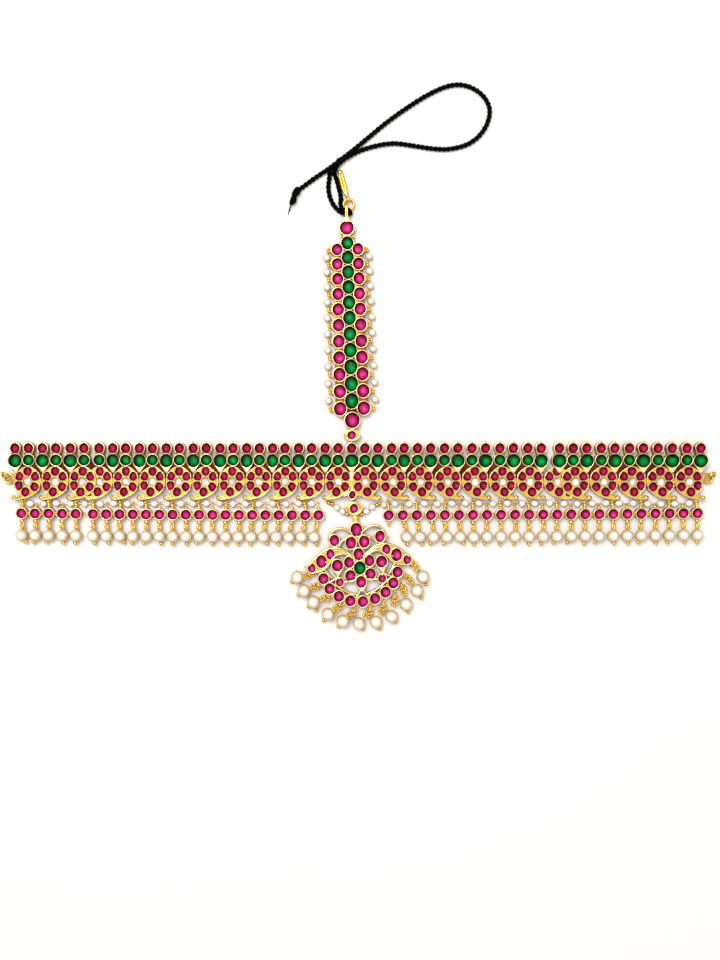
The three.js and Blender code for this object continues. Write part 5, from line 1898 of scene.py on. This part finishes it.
@dataclass
class Pendant:
    """The fan pendant, in its own frame with its bail at the origin and -Y down its axis."""

    half_span: float = 21.1
    length: float = 35.5
    height: float = 3.4
    tilt: float = 0.09
    place_x: float = 1.5
    place_y: float = -15.0
    rim: float = 0.46
    let_out: float = 1.045
    arc_count: int = 9
    arc_centre: float = 0.535
    arc_radii: Point = (0.73, 0.4)
    arc_spread: float = 1.31
    arc_stone: Point = (0.184, 0.117)
    pearl: float = 5.25
    pointed: tuple[float, ...] = (0.505, 0.713)
    stones: tuple[PendantStone, ...] = (
        PendantStone(0, 0.122, 0.207, 0.149),
        PendantStone(0.128, 0.262, 0.188, 0.135),
        PendantStone(0.436, 0.221, 0.176, 0.123),
        PendantStone(0, 0.4, 0.186, 0.13),
        PendantStone(0.194, 0.481, 0.176, 0.121),
        PendantStone(0, 0.555, 0.212, 0.142, Tint.EMERALD),
        PendantStone(0.19, 0.633, 0.189, 0.121),
        PendantStone(0, 0.713, 0.178, 0.126),
        PendantStone(0.42, 0.505, 0.196, 0.127),
        PendantStone(0.403, 0.695, 0.138, 0.089),
        PendantStone(0.533, 0.372, 0.145, 0.113),
        PendantStone(0.715, 0.444, 0.191, 0.138),
        PendantStone(0.91, 0.51, 0.137, 0.101),
    )
    wing: tuple[Point, ...] = (
        (0.07, 0.44), (0.16, 0.385), (0.26, 0.337), (0.37, 0.305), (0.49, 0.297), (0.61, 0.312), (0.72, 0.344),
        (0.82, 0.388), (0.92, 0.44), (1.0, 0.51), (0.93, 0.563), (0.84, 0.568), (0.75, 0.56), (0.66, 0.533),
        (0.59, 0.49), (0.545, 0.448), (0.49, 0.412), (0.42, 0.388), (0.32, 0.372), (0.22, 0.395), (0.12, 0.45),
    )
    wires: tuple[tuple[Point, ...], ...] = (
        ((0.09, 0.16), (0.18, 0.11), (0.3, 0.085), (0.43, 0.1), (0.51, 0.145), (0.54, 0.2), (0.53, 0.255),
         (0.48, 0.29), (0.41, 0.3)),
        ((0.365, 0.3), (0.335, 0.26), (0.285, 0.225), (0.19, 0.2), (0.1, 0.185)),
        ((0.95, 0.475), (0.82, 0.393), (0.72, 0.349), (0.61, 0.317), (0.49, 0.302), (0.37, 0.31),
         (0.26, 0.342), (0.16, 0.39), (0.08, 0.43)),
        ((0.12, 0.44), (0.22, 0.39), (0.32, 0.37), (0.42, 0.385), (0.5, 0.415), (0.545, 0.45), (0.59, 0.492),
         (0.66, 0.53), (0.75, 0.557), (0.86, 0.563)),
        ((0.47, 0.33), (0.345, 0.338), (0.24, 0.366), (0.145, 0.41)),
        ((0.671, 0.539), (0.597, 0.59), (0.54, 0.65)),
        ((0.35, 0.56), (0.405, 0.606), (0.44, 0.635), (0.51, 0.665), (0.6, 0.685)),
        ((0.495, 0.555), (0.45, 0.605), (0.42, 0.64), (0.4, 0.665)),
        ((0.31, 0.698), (0.21, 0.697), (0.12, 0.687)),
        ((0.58, 0.69), (0.49, 0.725), (0.4, 0.767), (0.3, 0.808), (0.19, 0.84), (0.07, 0.858)),
        ((0.0, 0.775), (0.035, 0.815), (0.07, 0.85), (0.12, 0.88)),
    )
    drops: tuple[tuple[Point, Point, Point], ...] = (
        ((-1.028, 0.587), (-1.199, 0.595), (-1.316, 0.643)),
        ((-0.873, 0.72), (-1.093, 0.755), (-1.213, 0.8)),
        ((-0.7, 0.86), (-0.932, 0.891), (-1.04, 0.944)),
        ((-0.482, 0.974), (-0.679, 1.042), (-0.78, 1.111)),
        ((-0.232, 1.059), (-0.413, 1.136), (-0.51, 1.197)),
        ((0.083, 1.069), (-0.113, 1.178), (-0.054, 1.25)),
        ((0.361, 1.039), (0.214, 1.178), (0.266, 1.263)),
        ((0.602, 0.955), (0.517, 1.131), (0.58, 1.202)),
        ((0.782, 0.846), (0.813, 1.011), (0.837, 1.103)),
        ((0.9, 0.73), (1.042, 0.867), (1.115, 0.958)),
        ((1.036, 0.582), (1.175, 0.718), (1.226, 0.809)),
    )

    def point(self, share: Point) -> Point:
        """Gives a place in the pendant's frame, in millimetres, from its shares."""
        return share[0] * self.half_span, -share[1] * self.length

    def arc_place(self, index: int) -> Point:
        """Gives the place of one stone of the lower arc."""
        turn = self.arc_spread * (2 * index / (self.arc_count - 1) - 1)
        across = self.arc_radii[0] * math.sin(turn)
        return self.point((across, self.arc_centre + self.arc_radii[1] * math.cos(turn)))

    def frame(self) -> Matrix:
        """Gives where the pendant's own frame lies in the jewel."""
        return Matrix.Translation((self.place_x * MM, self.place_y * MM, 0)) @ Matrix.Rotation(self.tilt, 4, "Z")

    def settings(self) -> list[bpy.types.Object]:
        """Sets all stones."""
        parts = []
        for stone in self.stones:
            size = (stone.wide * self.half_span * self.let_out, stone.long * self.length * self.let_out)
            outline = oval(size[0] + 2 * self.rim, size[1] + 2 * self.rim)
            if stone.down in self.pointed:
                outline = drawn_out(size[0] + 2 * self.rim, size[1] + 2 * self.rim, 1.3, -1.0)
            model = set_stone(outline, size, 0.0, self.height, stone.tint)
            for side in (1,) if stone.across == 0 else (-1, 1):
                x, y = self.point((side * stone.across, stone.down))
                parts.append(copy_at(model, x, y))
            discard([model])
        size = (self.arc_stone[0] * self.half_span * self.let_out, self.arc_stone[1] * self.length * self.let_out)
        outline = oval(size[0] + 2 * self.rim, size[1] + 2 * self.rim)
        model = set_stone(outline, size, 0.0, self.height, Tint.RUBY)
        for index in range(self.arc_count):
            parts.append(copy_at(model, *self.arc_place(index)))
        discard([model])
        return parts

    def gold_work(self) -> list[bpy.types.Object]:
        """Models the wings, wires, webs and the bail."""
        parts = []
        for side in (-1, 1):
            outline = [(side * x, y) for x, y in map(self.point, self.wing)]
            leaf = plate(rounded(outline if side < 0 else outline[::-1], 3), 0.0, self.height - 0.25)
            with editing(leaf):
                bpy.ops.mesh.inset(thickness=0.35 * MM)
                bpy.ops.mesh.extrude_region_move(TRANSFORM_OT_translate={"value": (0, 0, -0.4 * MM)})
            ease_rim(leaf, self.height - 0.25, 0.12)
            parts.append(dress(leaf, Finishes.gold))
            for line in self.wires:
                points = [(side * x, y, self.height - 0.5) for x, y in map(self.point, line)]
                parts.append(bent_wire(points, 0.92, Finishes.gold, 2, 4))
                low = [(x, y, 1.3) for x, y, _ in points]
                parts.append(bent_wire(low, 0.85, Finishes.gold, 1, 3))
        line = [self.arc_place(index) for index in range(self.arc_count)]
        for start, end in zip(line, line[1:]):
            middle = (0.5 * (start[0] + end[0]), 0.5 * (start[1] + end[1]))
            away = Vector((end[0] - start[0], end[1] - start[1])).normalized()
            across = Vector((-away.y, away.x))
            for reach in (-1.55, 1.45):
                parts.append(grain(0.9, middle[0] + reach * across.x, middle[1] + reach * across.y, 2.7))
            web = plate(oval(1.8, 2.6, 10, *middle), 0.0, 2.6)
            ease_rim(web, 2.6)
            parts.append(dress(web, Finishes.gold))
        bail = plate(rounded([(-1.1, 1.1), (1.1, 1.1), (0.95, -0.6), (1.35, -1.9), (-1.35, -1.9), (-0.95, -0.6)], 3),
                     0.0, 3.1)
        ease_rim(bail, 3.1, 0.35, 3)
        parts.append(dress(bail, Finishes.gold))
        return parts

    def grains(self) -> list[bpy.types.Object]:
        """Sets the small balls between the settings."""
        webs = ((0.0, 0.195), (0.0, 0.235), (0.07, 0.335), (-0.07, 0.335), (0.1, 0.47), (-0.1, 0.47), (0.1, 0.655),
                (-0.1, 0.655))
        places = webs + ((-1.03, 0.483), (0.588, 0.235), (0.3, 0.455), (-0.3, 0.455), (0.82, 0.52), (-0.82, 0.52),
                         (0.64, 0.455), (-0.64, 0.455))
        grains = [grain(1.0, *self.point(place), self.height - 0.45) for place in places]
        for place in webs:
            web = plate(oval(2.0, 2.2, 10, *self.point(place)), 0.0, 2.7)
            ease_rim(web, 2.7)
            grains.append(dress(web, Finishes.gold))
        return grains

    def model_grape(self) -> bpy.types.Object:
        """Models a bunch of gold grains, 4.4 mm long along Y."""
        rng = random.Random(SEED)
        ball = grain(1.0)
        parts = []
        for y, count, reach in ((-1.9, 3, 0.45), (-1.15, 5, 0.85), (-0.1, 5, 0.72), (0.8, 5, 0.85), (1.6, 3, 0.5)):
            start = rng.uniform(0.0, 2.0)
            for step in range(count):
                turn = start + FULL_TURN * step / count + rng.uniform(-0.25, 0.25)
                size = rng.uniform(0.85, 1.12)
                parts.append(copy_at(ball, reach * math.cos(turn), y + rng.uniform(-0.22, 0.22),
                                     reach * math.sin(turn), 0.0, (size, size, size)))
        discard([ball])
        return join(parts)

    def build_drops(self) -> None:
        """Builds the pearl drops on their bunches of grains."""
        grape = self.model_grape()
        loop = wire_ring(2.0, 0.45, 12, 5)
        big = pearl(self.pearl)
        ball = grain(1.7)
        level = 0.5 * self.pearl
        for index, shares in enumerate(self.drops):
            bunch, centre, tip = (Vector(self.point(share)) for share in shares)
            away = centre - bunch
            turn = math.atan2(away.y, away.x) + math.pi / 2
            reach = -away.normalized()
            parts = [copy_at(big, *centre, level, turn), copy_at(grape, *bunch, level, turn, (1.28, 1.0, 1.15))]
            for step, lift in ((2.5, 0.3), (3.1, -0.3)):
                ring = copy_at(loop, 0.0, 0.0, 0.0, 0.0, (0.8, 1.0, 1.0))
                ring.data.transform(Matrix.Rotation(1.9 * lift, 4, "Y"))
                parts.append(copy_at(ring, *(bunch + reach * step * 0.75), level - 0.3, turn))
                discard([ring])
            parts.append(copy_at(ball, *tip, 1.5))
            if index == 2:
                parts.append(copy_at(ball, *self.point((-0.906, 0.988)), 1.5))
            name = f"pendant_drop_{index + 1:02d}"
            finish_piece(f"{name}_dressed", parts, [name], self.frame())
        discard([grape, loop, big, ball])

    def build(self) -> None:
        """Builds the pendant and its drops."""
        parts = self.settings() + self.gold_work() + self.grains()
        finish_piece("pendant_dressed", parts, ["pendant"], self.frame())
        self.build_drops()


def main() -> None:
    """Builds the jewel and its studio."""
    logging.basicConfig(level=logging.INFO, format="%(name)s: %(message)s")
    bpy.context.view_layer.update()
    Groups.build()
    Finishes.build()
    Studio().build()
    Cord().build()
    Band().build()
    Fringe().build()
    Strip().build()
    Links().build()
    CentreDrop().build()
    Pendant().build()


if __name__ == "__main__":
    main()
